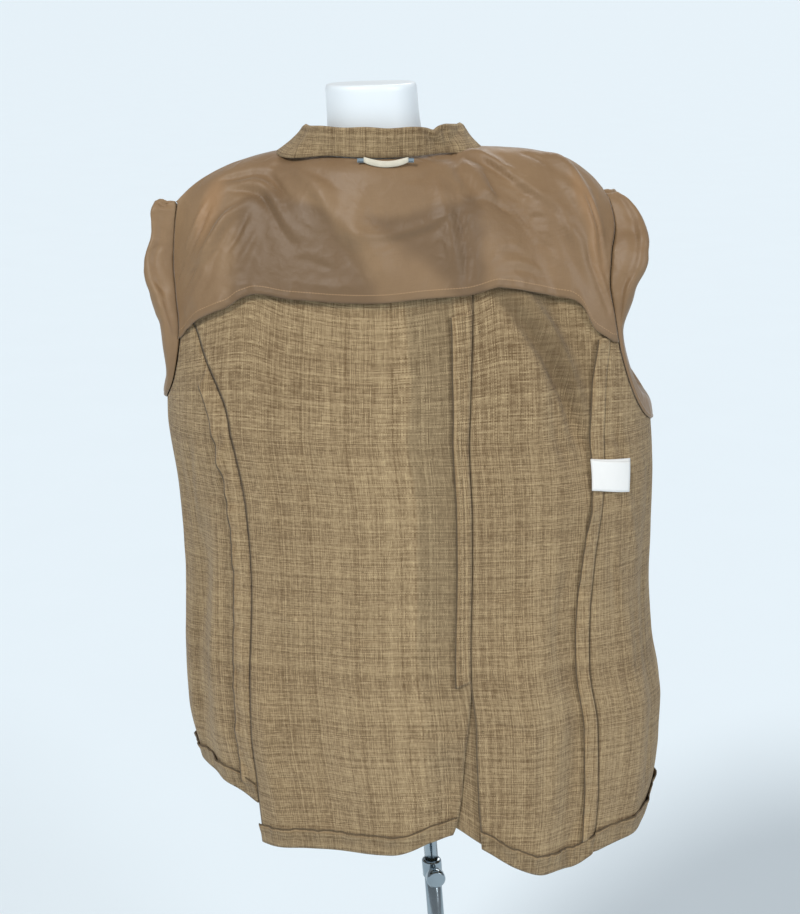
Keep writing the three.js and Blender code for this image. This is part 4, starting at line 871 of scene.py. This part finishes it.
def lining_finish(name, colour, hem=None):
    """Smooth lining with a soft sheen and faint crushing. With a hem at a distance it is machined there,
    and gets painted shade over the back and painted light by the armholes
    """
    finish = Finish(name, Sheen_Weight=0.25, Sheen_Roughness=0.35, Specular_IOR_Level=0.45)
    u, v = finish.threads()
    fine = finish.noise(finish.vector(u * 900.0, v * 60.0), 1.0, 1.0, 0.5)
    weft = finish.noise(finish.vector(u * 60.0, v * 1100.0, 5.0), 1.0, 1.0, 0.5)
    cloud = finish.noise(finish.place(), 7.0, 3.0, 0.55)
    scratch = finish.noise(finish.vector(u * 55.0, v * 180.0, 3.0), 1.0, 3.0, 0.6)
    light = fine * 0.22 + weft * 0.2 + cloud.ramp(0.3, 0.7) * 0.5 + scratch.ramp(0.62, 0.8) * 0.25
    folded = finish.noise(finish.place(), 21.0, 2.0, 0.6)
    ridge = ((folded - 0.5).size() * -9.0 + 1.0).ramp(0.0, 1.0)
    crush = finish.noise(finish.place(), 48.0, 2.0, 0.5)
    veins = ((crush - 0.5).size() * -8.0 + 1.0).ramp(0.0, 1.0)
    base = finish.blend(light, shade(colour, 0.74, 0.05), shade(colour, 1.2, -0.02))
    if hem:
        # Painted shade and painted light on the back lining
        base = painted_shade_and_light(finish, u, v, base, colour)
        edge, along = finish.attribute("from_low"), finish.attribute("from_left")
        line = stitches(edge, along, hem, 0.0034, 0.0005)
        base = finish.blend(line * 0.75, base, shade(colour, 1.75))
        base = finish.blend((edge < hem) * 0.18, base, shade(colour, 0.7))
    finish.set(Base_Color=base, Roughness=cloud * 0.16 + fine * 0.08 + 0.40)
    crushed = ridge * 1.0 + veins * 0.3 + scratch * 0.3 + weft * 0.12 + fine * 0.1
    finish.bump(crushed, 0.0012, 0.36)
    return finish.material


def strap_finish(colour):
    """Ribbed satin ribbon"""
    finish = Finish("Satin ribbon", Roughness=0.5, Sheen_Weight=0.3)
    u, _ = finish.threads()
    rib_pitch = 0.0011
    ribs = (u * (2 * math.pi / rib_pitch)).sine()
    grime = finish.noise(finish.place(), 130.0, 2.0)
    finish.set(Base_Color=finish.blend(grime * 0.7 + ribs * 0.1, shade(colour, 0.8), shade(colour, 1.1)))
    finish.bump(ribs, 0.0002, 0.5)
    return finish.material


def label_finish(colour):
    """Bare woven label ribbon, a little darker near its left and upper edges"""
    finish = Finish("Label ribbon", Roughness=0.62, Sheen_Weight=0.1)
    _, v = finish.threads()
    rib_pitch = 0.0009
    ribs = (v * (2 * math.pi / rib_pitch)).sine()
    # Darker within a few millimetres of the left and upper edges
    edge = finish.attribute("from_left").ramp(0.0, 0.003) * finish.attribute("from_high").ramp(0.0, 0.002)
    cloud = finish.noise(finish.place(), 60.0, 2.0)
    base = finish.blend(edge * 0.8 + cloud * 0.2, shade(colour, 0.82), shade(colour, 1.0))
    finish.set(Base_Color=base)
    finish.bump(ribs, 0.00015, 0.4)
    return finish.material


def form_finish(colour):
    """Moulded glossy white form, very slightly marked"""
    finish = Finish("White form", Specular_IOR_Level=0.5, Coat_Roughness=0.2)
    cloud = finish.noise(finish.place(), 11.0, 3.0)
    fine = finish.noise(finish.place(), 320.0, 2.0)
    finish.set(Base_Color=finish.blend(cloud, shade(colour, 0.97), shade(colour, 1.03)),
               Roughness=cloud * 0.12 + 0.3)
    finish.bump(fine, 0.0001, 0.15)
    return finish.material


def chrome_finish():
    """Bright plated steel with faint wipe marks"""
    finish = Finish("Chrome", Metallic=1.0)
    marks = finish.noise(finish.place(), 90.0, 3.0)
    cloud = finish.noise(finish.place(), 14.0, 2.0)
    finish.set(Base_Color=finish.blend(cloud, (0.20, 0.25, 0.28), (0.42, 0.48, 0.52)),
               Roughness=marks * 0.1 + 0.1)
    finish.bump(marks, 0.00005, 0.2)
    return finish.material


def horn_finish():
    """Polished horn with darker veins"""
    finish = Finish("Horn", Coat_Weight=0.3)
    veins = finish.noise(finish.place(), 260.0, 4.0, 0.6)
    finish.set(Base_Color=finish.blend(veins.ramp(0.35, 0.7), (0.035, 0.018, 0.01), (0.16, 0.09, 0.045)),
               Roughness=veins * 0.15 + 0.25)
    finish.bump(veins, 0.0001, 0.2)
    return finish.material


# Pieces

FORM_NODE = "dress_form"
# Seam allowances: panel they lie on, shares of it across and up, and their free edge
STRIPS = {
    "allowance_left": ("side_left", (0.92, 1), (0.03, 0.90), "from_left"),
    "allowance_right": ("back_right", (0.87, 1), (0.035, 0.742), "from_left"),
    "allowance_centre": ("back_left", (0.937, 1), (0.268, 0.765), "from_left"),
    "allowance_front_left": ("front_left", (0.9, 1), (0.035, 0.675), "from_left"),
    "allowance_front_right": ("front_right", (0, 0.1), (0.035, 0.675), "from_right"),
}
# Hems: panel they lie on, share of it across, and share of it up to their top
HEM_BANDS = {
    "hem_back_left": ("back_left", (0, 1), 0.035), "hem_back_right": ("back_right", (0, 1), 0.035),
    "hem_side_left": ("side_left", (0, 1), 0.05), "hem_side_right": ("side_right", (0, 1), 0.05),
    "hem_front_left": ("front_left", (0.1, 1), 0.035), "hem_front_right": ("front_right", (0, 1), 0.035),
}
HEM_DEPTH = 28
# Stitch lines on the centre allowance, in metres from its seam
CENTRE_STITCHES = (("from_right", 0.009), ("from_right", 0.0125))
# About the height of the lining's lower edge, and that of the middle of an armhole
LINING_LOW, HOLE_MIDDLE = 1210, 1235.0


def panel_place(name, out=0.0, q_span=(0, 1), r_span=(0, 1), lift=None):
    """The places of a panel, or of a part of it that lies so far out from it"""
    lines = PANELS[name]
    wide = PANEL_SIZES[name][0]
    seed = 1.0 + list(PANELS).index(name)

    def place(q, r):
        q_here, r_here = mix(*q_span, q), mix(*r_span, r)
        angle, w = lines(q_here, r_here)
        off = out + creased(angle, w, seed) + seam_dip(q_here, wide)
        if name == "front_right":
            off = off + lap_lift(q_here, w)
        if lift:
            off = off + lift(q, r)
        return on_cloth(angle, w, off)

    def threads(q, r):
        angle, w = lines(mix(*q_span, q), mix(*r_span, r))
        return angle * DEGREE, w
    place.threads = threads
    return place


class PanelsOperator(bpy.types.Operator):
    """Make the linen panels, each a crumpled sheet between two seams"""
    bl_idname = "blazer.panels"
    bl_label = "Body panels"

    def execute(self, context):
        plain = linen_finish("Linen", colours().linen)
        fronts = linen_finish("Linen of the fronts", colours().linen, 0.95)
        # Copies of the linen with painted shadow beside a seam: the centre one is also darker and greyer in
        # a band, and the folded one has painted shade below the soft fold
        centre = linen_finish("Linen beside the centre seam", colours().linen, greyer_band=(0.001, 0.042),
                              shaded="from_left")
        seamed = linen_finish("Linen beside a seam", colours().linen, shaded="from_left")
        folded = linen_finish("Linen with painted shade below a soft fold", colours().linen, shaded="from_left",
                              painted_fold_shade=True)
        finishes = {"back_left": centre, "back_right": folded, "side_right": seamed,
                    "side_left": plain, "front_left": fronts, "front_right": fronts}
        for name, (wide, long) in PANEL_SIZES.items():
            cloth(name + "_cloth", name, panel_place(name), wide, long, LINEN, finishes[name],
                  [FORM_NODE])

        def underlap(q, r):
            w = mix(spread(HEMS["underlap"])(q), VENT_TOP + 10, r)
            angle = mix(-3, curve(VENT_RIGHT)(w) + 3, q)
            return on_cloth(angle, w, creased(angle, w) - 3.8)
        cloth("vent_underlap_cloth", "vent_underlap", underlap, 60, 200, LINEN, fronts,
              ["back_left_cloth"])
        return {"FINISHED"}


class StripsOperator(bpy.types.Operator):
    """Make the pressed seam allowances and the turned-up hem bands"""
    bl_idname = "blazer.strips"
    bl_label = "Seam allowances and hems"

    def execute(self, context):
        colour = colours().linen
        for name, (panel, q_span, r_span, free) in STRIPS.items():
            pressed = "centre" in name
            # Each strip's free edge is bound, with a painted shadow line along it
            finish = linen_finish(name + " linen", colour, 1.04, free, CENTRE_STITCHES if pressed else ())
            wide, long = PANEL_SIZES[panel]

            def lift(q, r, free=free, pucker=0.25 if pressed else 0.62):
                loose = 1 - q if free == "from_left" else q
                wave = np.sin(53 * r + 3 * q) + 0.7 * np.sin(97 * r - 2 * q) + 0.5 * np.sin(171 * r + 4 * q)
                return ease(loose, 0.1, 1) * (1.2 + 1.3 * pucker * (1 + wave)) + 0.25 * wave * pucker
            out = LINEN / 2 + LAYER + LINING / 2
            place = panel_place(panel, out, q_span, r_span, lift)
            cloth(name + "_strip", name, place, wide * (q_span[1] - q_span[0]),
                  long * (r_span[1] - r_span[0]), LINING, finish, [panel + "_cloth"])
        # The hem bands' linen is painted darker as painted shade, with a painted shadow line along their
        # top edge
        band = linen_finish("Hem linen", colour, 0.84, "from_high", [("from_high", 0.004)])

        def hem_lift(q, r):
            wave = np.sin(31 * q + 2 * r) + 0.6 * np.sin(67 * q) + 0.5 * np.sin(113 * q + 1)
            return ease(r, 0.35, 1) * (1.5 + 0.7 * wave) + 0.45 * wave * ease(r, 0, 0.3)
        for name, (panel, q_span, top) in HEM_BANDS.items():
            place = panel_place(panel, LINEN + LAYER, q_span, (0.0012, top), hem_lift)
            wide = PANEL_SIZES[panel][0] * (q_span[1] - q_span[0])
            cloth(name + "_band", name, place, wide, HEM_DEPTH, LINEN, band,
                  [panel + "_cloth"])
        return {"FINISHED"}


class LiningOperator(bpy.types.Operator):
    """Make the half back lining, which hangs free at its lower edge"""
    bl_idname = "blazer.lining"
    bl_label = "Back lining"

    def execute(self, context):
        hem = curve(LINING_HEM)
        left, right = back_side(LEFT_HOLE), back_side(RIGHT_HOLE)

        def bare(w):
            """The linen that shows beyond the lining at the right shoulder, in degrees"""
            return 2.6 * ease(w, 1335, 1352) * (1 - ease(w, 1405, 1428))

        def angle_at(q, w):
            return mix(left(w) + 0.3, right(w) - 0.3 - bare(w), q)

        def place(q, r):
            low = LINING_LOW + 0 * q
            for _ in range(12):
                low = hem(angle_at(q, low))
            w = mix(low, CREST - 1.5, r)
            angle = angle_at(q, w)
            edge = np.minimum(q, 1 - q) * 22
            free = ease(edge, 0, 3) * (1 - ease(r, 0.8, 1))
            flare = 2.4 * (1 - ease(r, 0, 0.3)) * ease(edge, 0, 2)
            folds = fold_height(LINING_FOLDS, angle, w) * LINING_FOLD_GAIN
            fine = crease_height(placed(LINING_CREASES), angle * DEGREE, w, 0.35) * LINING_GAIN
            fine = fine + rumple(angle * DEGREE * 1.6, w * 1.6, 4.0) * 0.5
            hem_wave = (1 - ease(r, 0, 0.12)) * 0.8 * np.sin(angle * 0.9 + 1.2 * np.sin(angle * 0.31))
            out = LINEN / 2 + LAYER + LINING / 2 + 1.2 + 3.4 * free + flare + hem_wave
            out = out + np.maximum(folds, -3.4) * free + fine * (0.5 + 0.5 * free)
            return on_cloth(angle, w, np.maximum(out, LINEN + 0.5))

        def threads(q, r):
            w = mix(LINING_LOW, CREST, r)
            return angle_at(q, w) * DEGREE, w
        place.threads = threads
        finish = lining_finish("Lining", colours().lining, 0.0095)
        cloth("back_lining_cloth", "back_lining", place, 480, 230, LINING, finish,
              ["back_left_cloth", "back_right_cloth"])
        return {"FINISHED"}


def roll_place(hole, heads, way):
    """The line over a sleeve head: out of the armhole, round and back into it"""
    share_rows = [(i / (len(ROLL) - 1), *row) for i, row in enumerate(ROLL)]
    roll_out, roll_plus, roll_in, roll_flat = curves(share_rows)
    stands_at = curve(heads)
    creases = placed([(*row, HEAD_BOW) for row in HEAD_CREASES], HEAD_DEGREE, HEAD_OVER)

    def place(turn, share, thick=0.0, crease=True):
        angle, w = hole[0](turn), np.minimum(hole[1](turn), CREST - 0.5)
        edge = draped(angle, w)
        middle = draped(np.array([90.0 * way]), np.array([HOLE_MIDDLE]))
        sideways = np.array([way, 0.0, 0.0])
        top = ease(np.cos(np.radians(turn)), 0.6, 0.95)
        to_side = across(np.maximum(top, mix(0.7, 1, ease(share, 0.5, 1))))
        outward = unit(normal_of(draped, angle, w) * (1 - to_side) + sideways * to_side)
        inward = middle - edge
        inward = unit(inward - outward * (inward * outward).sum(-1, keepdims=True))
        stands = stands_at(turn)
        if way < 0:
            flap, waist = np.exp(-((turn - 29) / 10) ** 2), np.exp(-((turn - 55) / 13) ** 2)
            stands = stands + 6 * flap - 6 * waist
        full = ease(stands, 5, 24)

        def sample(s):
            return (stands * roll_out(s) + roll_plus(s), mix(roll_flat(s), roll_in(s), full))
        x, y = sample(share)
        x1, y1 = sample(np.minimum(share + 0.02, 1))
        x0, y0 = sample(np.maximum(share - 0.02, 0))
        skin = unit(np.stack([y1 - y0, x0 - x1], -1))
        if crease:
            off = crease_height(creases, turn * HEAD_DEGREE, share * HEAD_OVER, 0.4)
            off = off * HEAD_GAIN + 0.35 * rumple(turn * 2.2, share * 150, 6.0 + way)
            thick = thick + off * ease(stands, 4, 22) * ease(share, 0.0, 0.1)
        x, y = x + skin[..., 0] * thick, y + skin[..., 1] * thick
        return edge + outward * across(x) + inward * across(y)
    return place


class SleevesOperator(bpy.types.Operator):
    """Make the rolled sleeve heads of lining and the sleeves that hang inside"""
    bl_idname = "blazer.sleeves"
    bl_label = "Sleeve heads and sleeves"

    def execute(self, context):
        lining = lining_finish("Sleeve lining", colours().lining)
        linen = linen_finish("Sleeve linen", colours().linen, 0.9)
        for side, hole, heads, rows, way in [
            ("left", LEFT_HOLE, SLEEVE_HEAD_LEFT, SLEEVE_LEFT, -1),
            ("right", RIGHT_HOLE, SLEEVE_HEAD_RIGHT, SLEEVE_RIGHT, 1),
        ]:
            roll = roll_place(hole, heads, way)

            def head(q, r):
                return roll(360 * (q if way > 0 else 1 - q), r, -LINING / 2)
            cloth("sleeve_head_%s_cloth" % side, "sleeve_head_" + side, head, 560, 110, LINING, lining,
                  ["side_%s_cloth" % side], True)
            top_x, top_z, low_x, low_z, half_y = curves([(n + 1, *row) for n, row in enumerate(rows)])

            def tube(q, r):
                j = r * len(rows)
                turn = 2 * math.pi * (q if way < 0 else 1 - q)
                mouth = roll(np.degrees(turn), 1 + 0 * r, -LINING / 2, False)
                mouth[..., 0] -= way * (0.5 + 12 * j)
                high = (1 + np.cos(turn)) / 2
                row = np.maximum(j, 1)
                x, z = mix(low_x(row), top_x(row), high), mix(low_z(row), top_z(row), high)
                sag = 1.2 * rumple(turn * 60, z, 3.0 + way) * ease(j, 2, 4)
                hung = np.stack([x + sag, -(half_y(row) + sag) * np.sin(turn), z], -1)
                return mix(mouth, hung, across(ease(j, 0, 5)))
            cloth("sleeve_%s_cloth" % side, "sleeve_" + side, tube, 330, 520, LINEN, linen,
                  ["sleeve_head_%s_cloth" % side], True)
        return {"FINISHED"}


class CollarOperator(bpy.types.Operator):
    """Make the collar, which stands up and turns in, and the lapels inside the fronts"""
    bl_idname = "blazer.collar"
    bl_label = "Collar and lapels"

    def execute(self, context):
        linen = linen_finish("Collar linen", colours().linen, 0.95, None, [("from_low", 0.003)])
        rows = [(i / (len(COLLAR) - 1), *row) for i, row in enumerate(COLLAR)]
        base_x, base_y, base_z, tall_at, flare_at = curves(rows)
        creases = placed(COLLAR_CREASES, COLLAR_LONG)

        def collar(q, r):
            base = np.stack([base_x(q), base_y(q), base_z(q)], -1)
            ahead, behind = np.minimum(q + 0.01, 1), np.maximum(q - 0.01, 0)
            way_x, way_y = base_x(ahead) - base_x(behind), base_y(ahead) - base_y(behind)
            out = unit(np.stack([way_y, -way_x, 0 * q], -1))
            from_neck = base - np.array([-105.0, 0.0, 1450.0])
            out = out * np.where((out * from_neck).sum(-1, keepdims=True) < 0, -1, 1)
            tall, half = tall_at(q), 2.5
            stand = tall - half
            turn_long = math.pi * half
            s = r * (stand + turn_long + stand * 0.86)
            turn = np.clip((s - stand) / half, 0, math.pi)
            x = np.where(s < stand, half, half * np.cos(turn))
            z = np.where(s < stand, s, stand + half * np.sin(turn))
            down = np.maximum(s - stand - turn_long, 0)
            z = z - down
            nx, nz = np.cos(turn), np.sin(turn)
            along = q * COLLAR_LONG
            wave = crease_height(creases, along, s, 0.5) + 0.5 * rumple(along, s * 2, 2.0)
            wave = wave * ease(s, 0, 5)
            notch = 4 * np.exp(-((q - 0.655) / 0.018) ** 2)
            top = (1.3 * np.sin(q * 41 + 0.6) * np.sin(q * 17) - notch) * ease(z, 12, 30)
            side = ease(np.abs(base[..., 0] + 104), 58, 106) * (1 - z / tall) ** 2
            point = base + out * across(x - half + flare_at(q) * z / tall + nx * wave + 17 * side)
            point[..., 2] += z + nz * wave * 0.5 + top - 5 * side
            return point
        cloth("collar_cloth", "collar", collar, COLLAR_LONG, 70, LINEN, linen,
              ["back_left_cloth", "back_right_cloth"])
        for side, line, way, lift in [("left", LEFT_EDGE, 1, 0), ("right", RIGHT_EDGE, -1, 0.45)]:
            def lapel(q, r):
                w = mix(BREAK_POINT + 47, CREST - 60, r)
                wide = 74 * np.minimum(1, 0.12 + 1.05 * r) * (q if way > 0 else 1 - q)
                degree = np.linalg.norm(draped(line(w) + 0.5, w) - draped(line(w) - 0.5, w), axis=-1)
                angle = line(w) + way * (wide / degree + 0.4)
                near = (q if way > 0 else 1 - q) * 6
                deep = 6 * ease(near, -0.4, 2.2) + 2.55
                return on_cloth(angle, w, lift - deep + creased(angle, w, 5.0))
            cloth("lapel_%s_cloth" % side, "lapel_" + side, lapel, 70, 200, LINEN, linen,
                  ["front_%s_cloth" % side])
        return {"FINISHED"}


class TrimsOperator(bpy.types.Operator):
    """Make the hanging strap with its two metal ends and the bare care label"""
    bl_idname = "blazer.trims"
    bl_label = "Strap and label"

    def execute(self, context):
        def strap(q, r):
            bow = 4 * q * (1 - q)
            twist = 0.5 * np.sin(q * 3.2 + 0.4)
            x = mix(-122.5, -71.5, q)
            y = -80.9 - 3.2 * bow - 0.6 * np.sin(math.pi * r) + twist * (r - 0.5)
            z = 1449 + 7 * (r - 0.5) * (1 - 0.25 * (1 - bow) ** 4) - 5 * bow
            return np.stack([x, y, z], -1)
        finish = strap_finish(colours().strap)
        cloth("hanging_strap", "hanging_loop", strap, 120, 24, 1.3, finish,
              ["collar_cloth"])
        chrome = bpy.data.materials.get("Chrome") or chrome_finish()
        for side, x in [("left", -125.5), ("right", -69.5)]:
            shape = bmesh.new()
            bmesh.ops.create_cube(shape, size=1)
            bmesh.ops.scale(shape, verts=shape.verts, vec=(9 * MM, 1.6 * MM, 5 * MM))
            front = [f for f in shape.faces if abs(f.normal.y) > 0.9]
            bmesh.ops.inset_individual(shape, faces=front, thickness=0.0014, depth=0)
            for face in front:
                bmesh.ops.translate(shape, verts=face.verts, vec=-face.normal * 0.0005)
            bmesh.ops.bevel(shape, geom=shape.edges[:], offset=0.0003, segments=2, profile=0.5,
                            affect="EDGES", material=-1)
            bmesh.ops.translate(shape, verts=shape.verts, vec=Vector((x, -81.0, 1448)) * MM)
            solid_piece("strap_link_" + side, shape, chrome, "loop_link_" + side)
        white = label_finish(colours().label)
        for shift, name, node, thick in [(0.0, "label_ribbon", "care_label", 0.8),
                                         (1.0, "label_under", None, 0.6)]:
            def label(q, r):
                share = mix(-0.075, 0.155, q) + 0.006 * shift
                w = mix(1062, 1099, r) - 8 * q + shift * mix(0.5, 3.5, q)
                angle = mix(RIGHT_BACK(w), RIGHT_FRONT(w), share)
                curl = 0.7 * np.sin(q * 3 + 1) * r
                return on_cloth(angle, w, LINEN / 2 + 5.2 - 2.6 * q + curl - 1.3 * shift)
            cloth(name, node, label, 44, 38, thick, white, ["side_right_cloth"])
        return {"FINISHED"}


def solid_piece(name, shape, finish, node):
    """A piece from a bmesh, in place of a node"""
    mesh = bpy.data.meshes.new(name)
    bmesh.ops.recalc_face_normals(shape, faces=shape.faces)
    shape.to_mesh(mesh)
    shape.free()
    mesh.polygons.foreach_set("use_smooth", np.ones(len(mesh.polygons), bool))
    mesh.materials.append(finish)
    piece = bpy.data.objects.new(name, mesh)
    bpy.context.scene.collection.objects.link(piece)
    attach(piece, "root")
    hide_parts(node)


def spun(pairs, lean=True, segments=96):
    """A turned shape from pairs of radius and height, sheared to the stand's lean"""
    shape = bmesh.new()
    points = [shape.verts.new((radius * MM, 0, height * MM)) for radius, height in pairs]
    edges = [shape.edges.new(pair) for pair in zip(points, points[1:])]
    bmesh.ops.spin(shape, geom=points + edges, cent=(0, 0, 0), axis=(0, 0, 1), angle=2 * math.pi,
                   steps=segments, use_merge=True)
    bmesh.ops.remove_doubles(shape, verts=shape.verts, dist=1e-6)
    if lean:
        bmesh.ops.transform(shape, verts=shape.verts, matrix=Matrix.Shear("XY", 4, (-LEAN, 0)))
    return shape


def softened(pairs, radius=0.8):
    """The same outline with its corners cut to two points, so that they read as rounded"""
    out = [pairs[0]]
    for before, here, after in zip(pairs, pairs[1:], pairs[2:]):
        for other in (before, after):
            long = math.hypot(other[0] - here[0], other[1] - here[1])
            share = min(0.4, radius / long)
            out.append((mix(here[0], other[0], share), mix(here[1], other[1], share)))
    return out + [pairs[-1]]


class FormOperator(bpy.types.Operator):
    """Make the white limbless form"""
    bl_idname = "blazer.form"
    bl_label = "Dress form"

    def execute(self, context):
        half_x, half_y, shift = curves(FORM)
        low, high = FORM[0][0], FORM[-1][0]

        def place(q, r):
            z = mix(low, high, np.clip((r - FORM_CAP) / (1 - 2 * FORM_CAP), 0, 1))
            cap = np.maximum(ease(FORM_CAP - r, 0, FORM_CAP), ease(r - 1 + FORM_CAP, 0, FORM_CAP))
            turn = -2 * math.pi * q
            s, c = np.sin(turn), np.cos(turn)
            grow = 1 - cap
            x = half_x(z) * np.sign(s) * np.abs(s) ** FORM_SQUARENESS * grow
            y = shift(z) - half_y(z) * np.sign(c) * np.abs(c) ** FORM_SQUARENESS * grow
            tilt = ease(z, 1250, 1430) * SHOULDER_TILT * x * mix(1, 0.55, ease(z, 1445, 1475))
            return np.stack([x - LEAN * (z + tilt), y, z + tilt], -1)
        finish = form_finish(colours().form)
        piece = grid_piece("form_shell", place, 120, 220, 0, finish, True)
        del piece["cut"]
        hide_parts(FORM_NODE)
        return {"FINISHED"}


class StandOperator(bpy.types.Operator):
    """Make the chrome stand and finish the buttons"""
    bl_idname = "blazer.stand"
    bl_label = "Stand and buttons"

    def execute(self, context):
        chrome = bpy.data.materials.get("Chrome") or chrome_finish()
        base = [(0, 0), (176, 0), (178, 2), (178, 5), (174, 8), (32, 10), (22, 18), (22, 42), (0, 42)]
        tube = [(0, 42.3), (11, 42.3), (11, 491.7), (0, 491.7)]
        clamp = [(0, 492), (11, 492), (13, 494), (13, 516), (11, 518), (0, 518)]
        rod = [(0, 518.3), (9, 518.3), (9, 721.7), (0, 721.7)]
        head = [(0, 0), (4, 0), (4, 6), (9.5, 7), (12.5, 10), (12.5, 20), (10.5, 22), (0, 22)]
        for name, node, shape in [
            ("base_plate", "stand_base", spun(softened(base), False, 128)),
            ("lower_tube", "stand_tube", spun(softened(tube, 0.5))),
            ("clamp_collar", "stand_clamp", spun(softened(clamp, 0.5))),
            ("upper_rod", "stand_rod", spun(softened(rod, 0.5))),
        ]:
            solid_piece(name, shape, chrome, node)
        knob = spun(softened(head, 0.6), False, 48)
        turn, reach, height = math.radians(8), 13.9, 505
        for angle, axis in ((math.pi / 2, "X"), (turn, "Z")):
            bmesh.ops.rotate(knob, verts=knob.verts, cent=(0, 0, 0),
                             matrix=Matrix.Rotation(angle, 3, axis))
        spot = Vector((math.sin(turn) * reach - LEAN * height, -math.cos(turn) * reach, height)) * MM
        bmesh.ops.translate(knob, verts=knob.verts, vec=spot)
        solid_piece("knob", knob, chrome, "clamp_knob")
        horn = horn_finish()
        for node in ("button_1", "button_2", "button_3"):
            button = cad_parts[node]
            button.data.materials.clear()
            button.data.materials.append(horn)
        return {"FINISHED"}


# Suns: where they stand, strength, softness in degrees and colour
SUNS = {
    "Key": ((-1.7, -2.3, 2.6), 1.85, 14, (1.0, 0.985, 0.96)),
    "Fill": ((2.6, -2.4, 1.6), 1.15, 24, (0.97, 0.985, 1.0)),
    "Rear": ((0.8, 3.0, 2.6), 0.85, 30, (1.0, 0.99, 0.97)),
}
# The world's colour and strength
SKY, SKY_STRENGTH = (0.92, 0.96, 1.0, 1.0), 0.35
# The camera of the photo: place in metres, tilt in degrees, lens and sensor in millimetres
CAMERA_PLACE, CAMERA_TILT = (-0.081, -2.080, 1.650), 74.5
CAMERA_LENS, CAMERA_SENSOR = 68.14, 36.0


class StageOperator(bpy.types.Operator):
    """Set the floor, the soft lights and the camera"""
    bl_idname = "blazer.stage"
    bl_label = "Stage"

    def execute(self, context):
        shape = bmesh.new()
        bmesh.ops.create_grid(shape, x_segments=40, y_segments=40, size=FLOOR_REACH)
        bmesh.ops.translate(shape, verts=shape.verts, vec=(0, 0, -0.0005))
        mesh = bpy.data.meshes.new("floor")
        shape.to_mesh(mesh)
        shape.free()
        mesh.polygons.foreach_set("use_smooth", np.ones(len(mesh.polygons), bool))
        finish = Finish("Pale floor", Roughness=0.9, Specular_IOR_Level=0.2)
        cloud = finish.noise(finish.place(), 3.0, 3.0)
        colour = colours().floor
        finish.set(Base_Color=finish.blend(cloud, shade(colour, 0.99), shade(colour, 1.01)))
        finish.bump(finish.noise(finish.place(), 400.0, 2.0), 0.0001, 0.1)
        mesh.materials.append(finish.material)
        floor = bpy.data.objects.new("floor", mesh)
        context.scene.collection.objects.link(floor)

        world = bpy.data.worlds.new("Soft daylight")
        context.scene.world = world
        world.use_nodes = True
        background = world.node_tree.nodes["Background"]
        background.inputs["Color"].default_value = SKY
        background.inputs["Strength"].default_value = SKY_STRENGTH
        for name, (place, strength, softness, colour) in SUNS.items():
            light = bpy.data.lights.new(name, "SUN")
            light.energy, light.angle, light.color = strength, math.radians(softness), colour
            lamp = bpy.data.objects.new(name, light)
            lamp.rotation_euler = Vector(place).to_track_quat("Z", "Y").to_euler()
            context.scene.collection.objects.link(lamp)
        camera = bpy.data.cameras.new("Photo camera")
        camera.lens, camera.sensor_width = CAMERA_LENS, CAMERA_SENSOR
        holder = bpy.data.objects.new("Photo camera", camera)
        holder.location = CAMERA_PLACE
        holder.rotation_euler = (math.radians(CAMERA_TILT), 0, 0)
        context.scene.collection.objects.link(holder)
        context.scene.camera = holder
        context.scene.view_settings.view_transform = "Standard"
        return {"FINISHED"}


OPERATORS = (StageOperator, FormOperator, StandOperator, PanelsOperator, StripsOperator, LiningOperator,
             SleevesOperator, CollarOperator, TrimsOperator)


class BlazerPanel(bpy.types.Panel):
    """Sizes, colours and steps of the blazer"""
    bl_idname = "VIEW3D_PT_blazer"
    bl_label = "Linen blazer"
    bl_space_type = "VIEW_3D"
    bl_region_type = "UI"
    bl_category = "Blazer"

    def draw(self, context):
        for group in (context.scene.blazer_sizes, context.scene.blazer_colours):
            box = self.layout.box()
            for name in group.__annotations__:
                box.prop(group, name)
        for operator in OPERATORS:
            self.layout.operator(operator.bl_idname)


CLASSES = (BlazerSizes, BlazerColours, *OPERATORS, BlazerPanel)


def register():
    for each in CLASSES:
        bpy.utils.register_class(each)
    bpy.types.Scene.blazer_sizes = bpy.props.PointerProperty(type=BlazerSizes)
    bpy.types.Scene.blazer_colours = bpy.props.PointerProperty(type=BlazerColours)


def unregister():
    del bpy.types.Scene.blazer_colours
    del bpy.types.Scene.blazer_sizes
    for each in reversed(CLASSES):
        bpy.utils.unregister_class(each)


def main():
    register()
    for operator in OPERATORS:
        getattr(bpy.ops.blazer, operator.bl_idname.split(".")[1])()


if __name__ == "__main__":
    main()
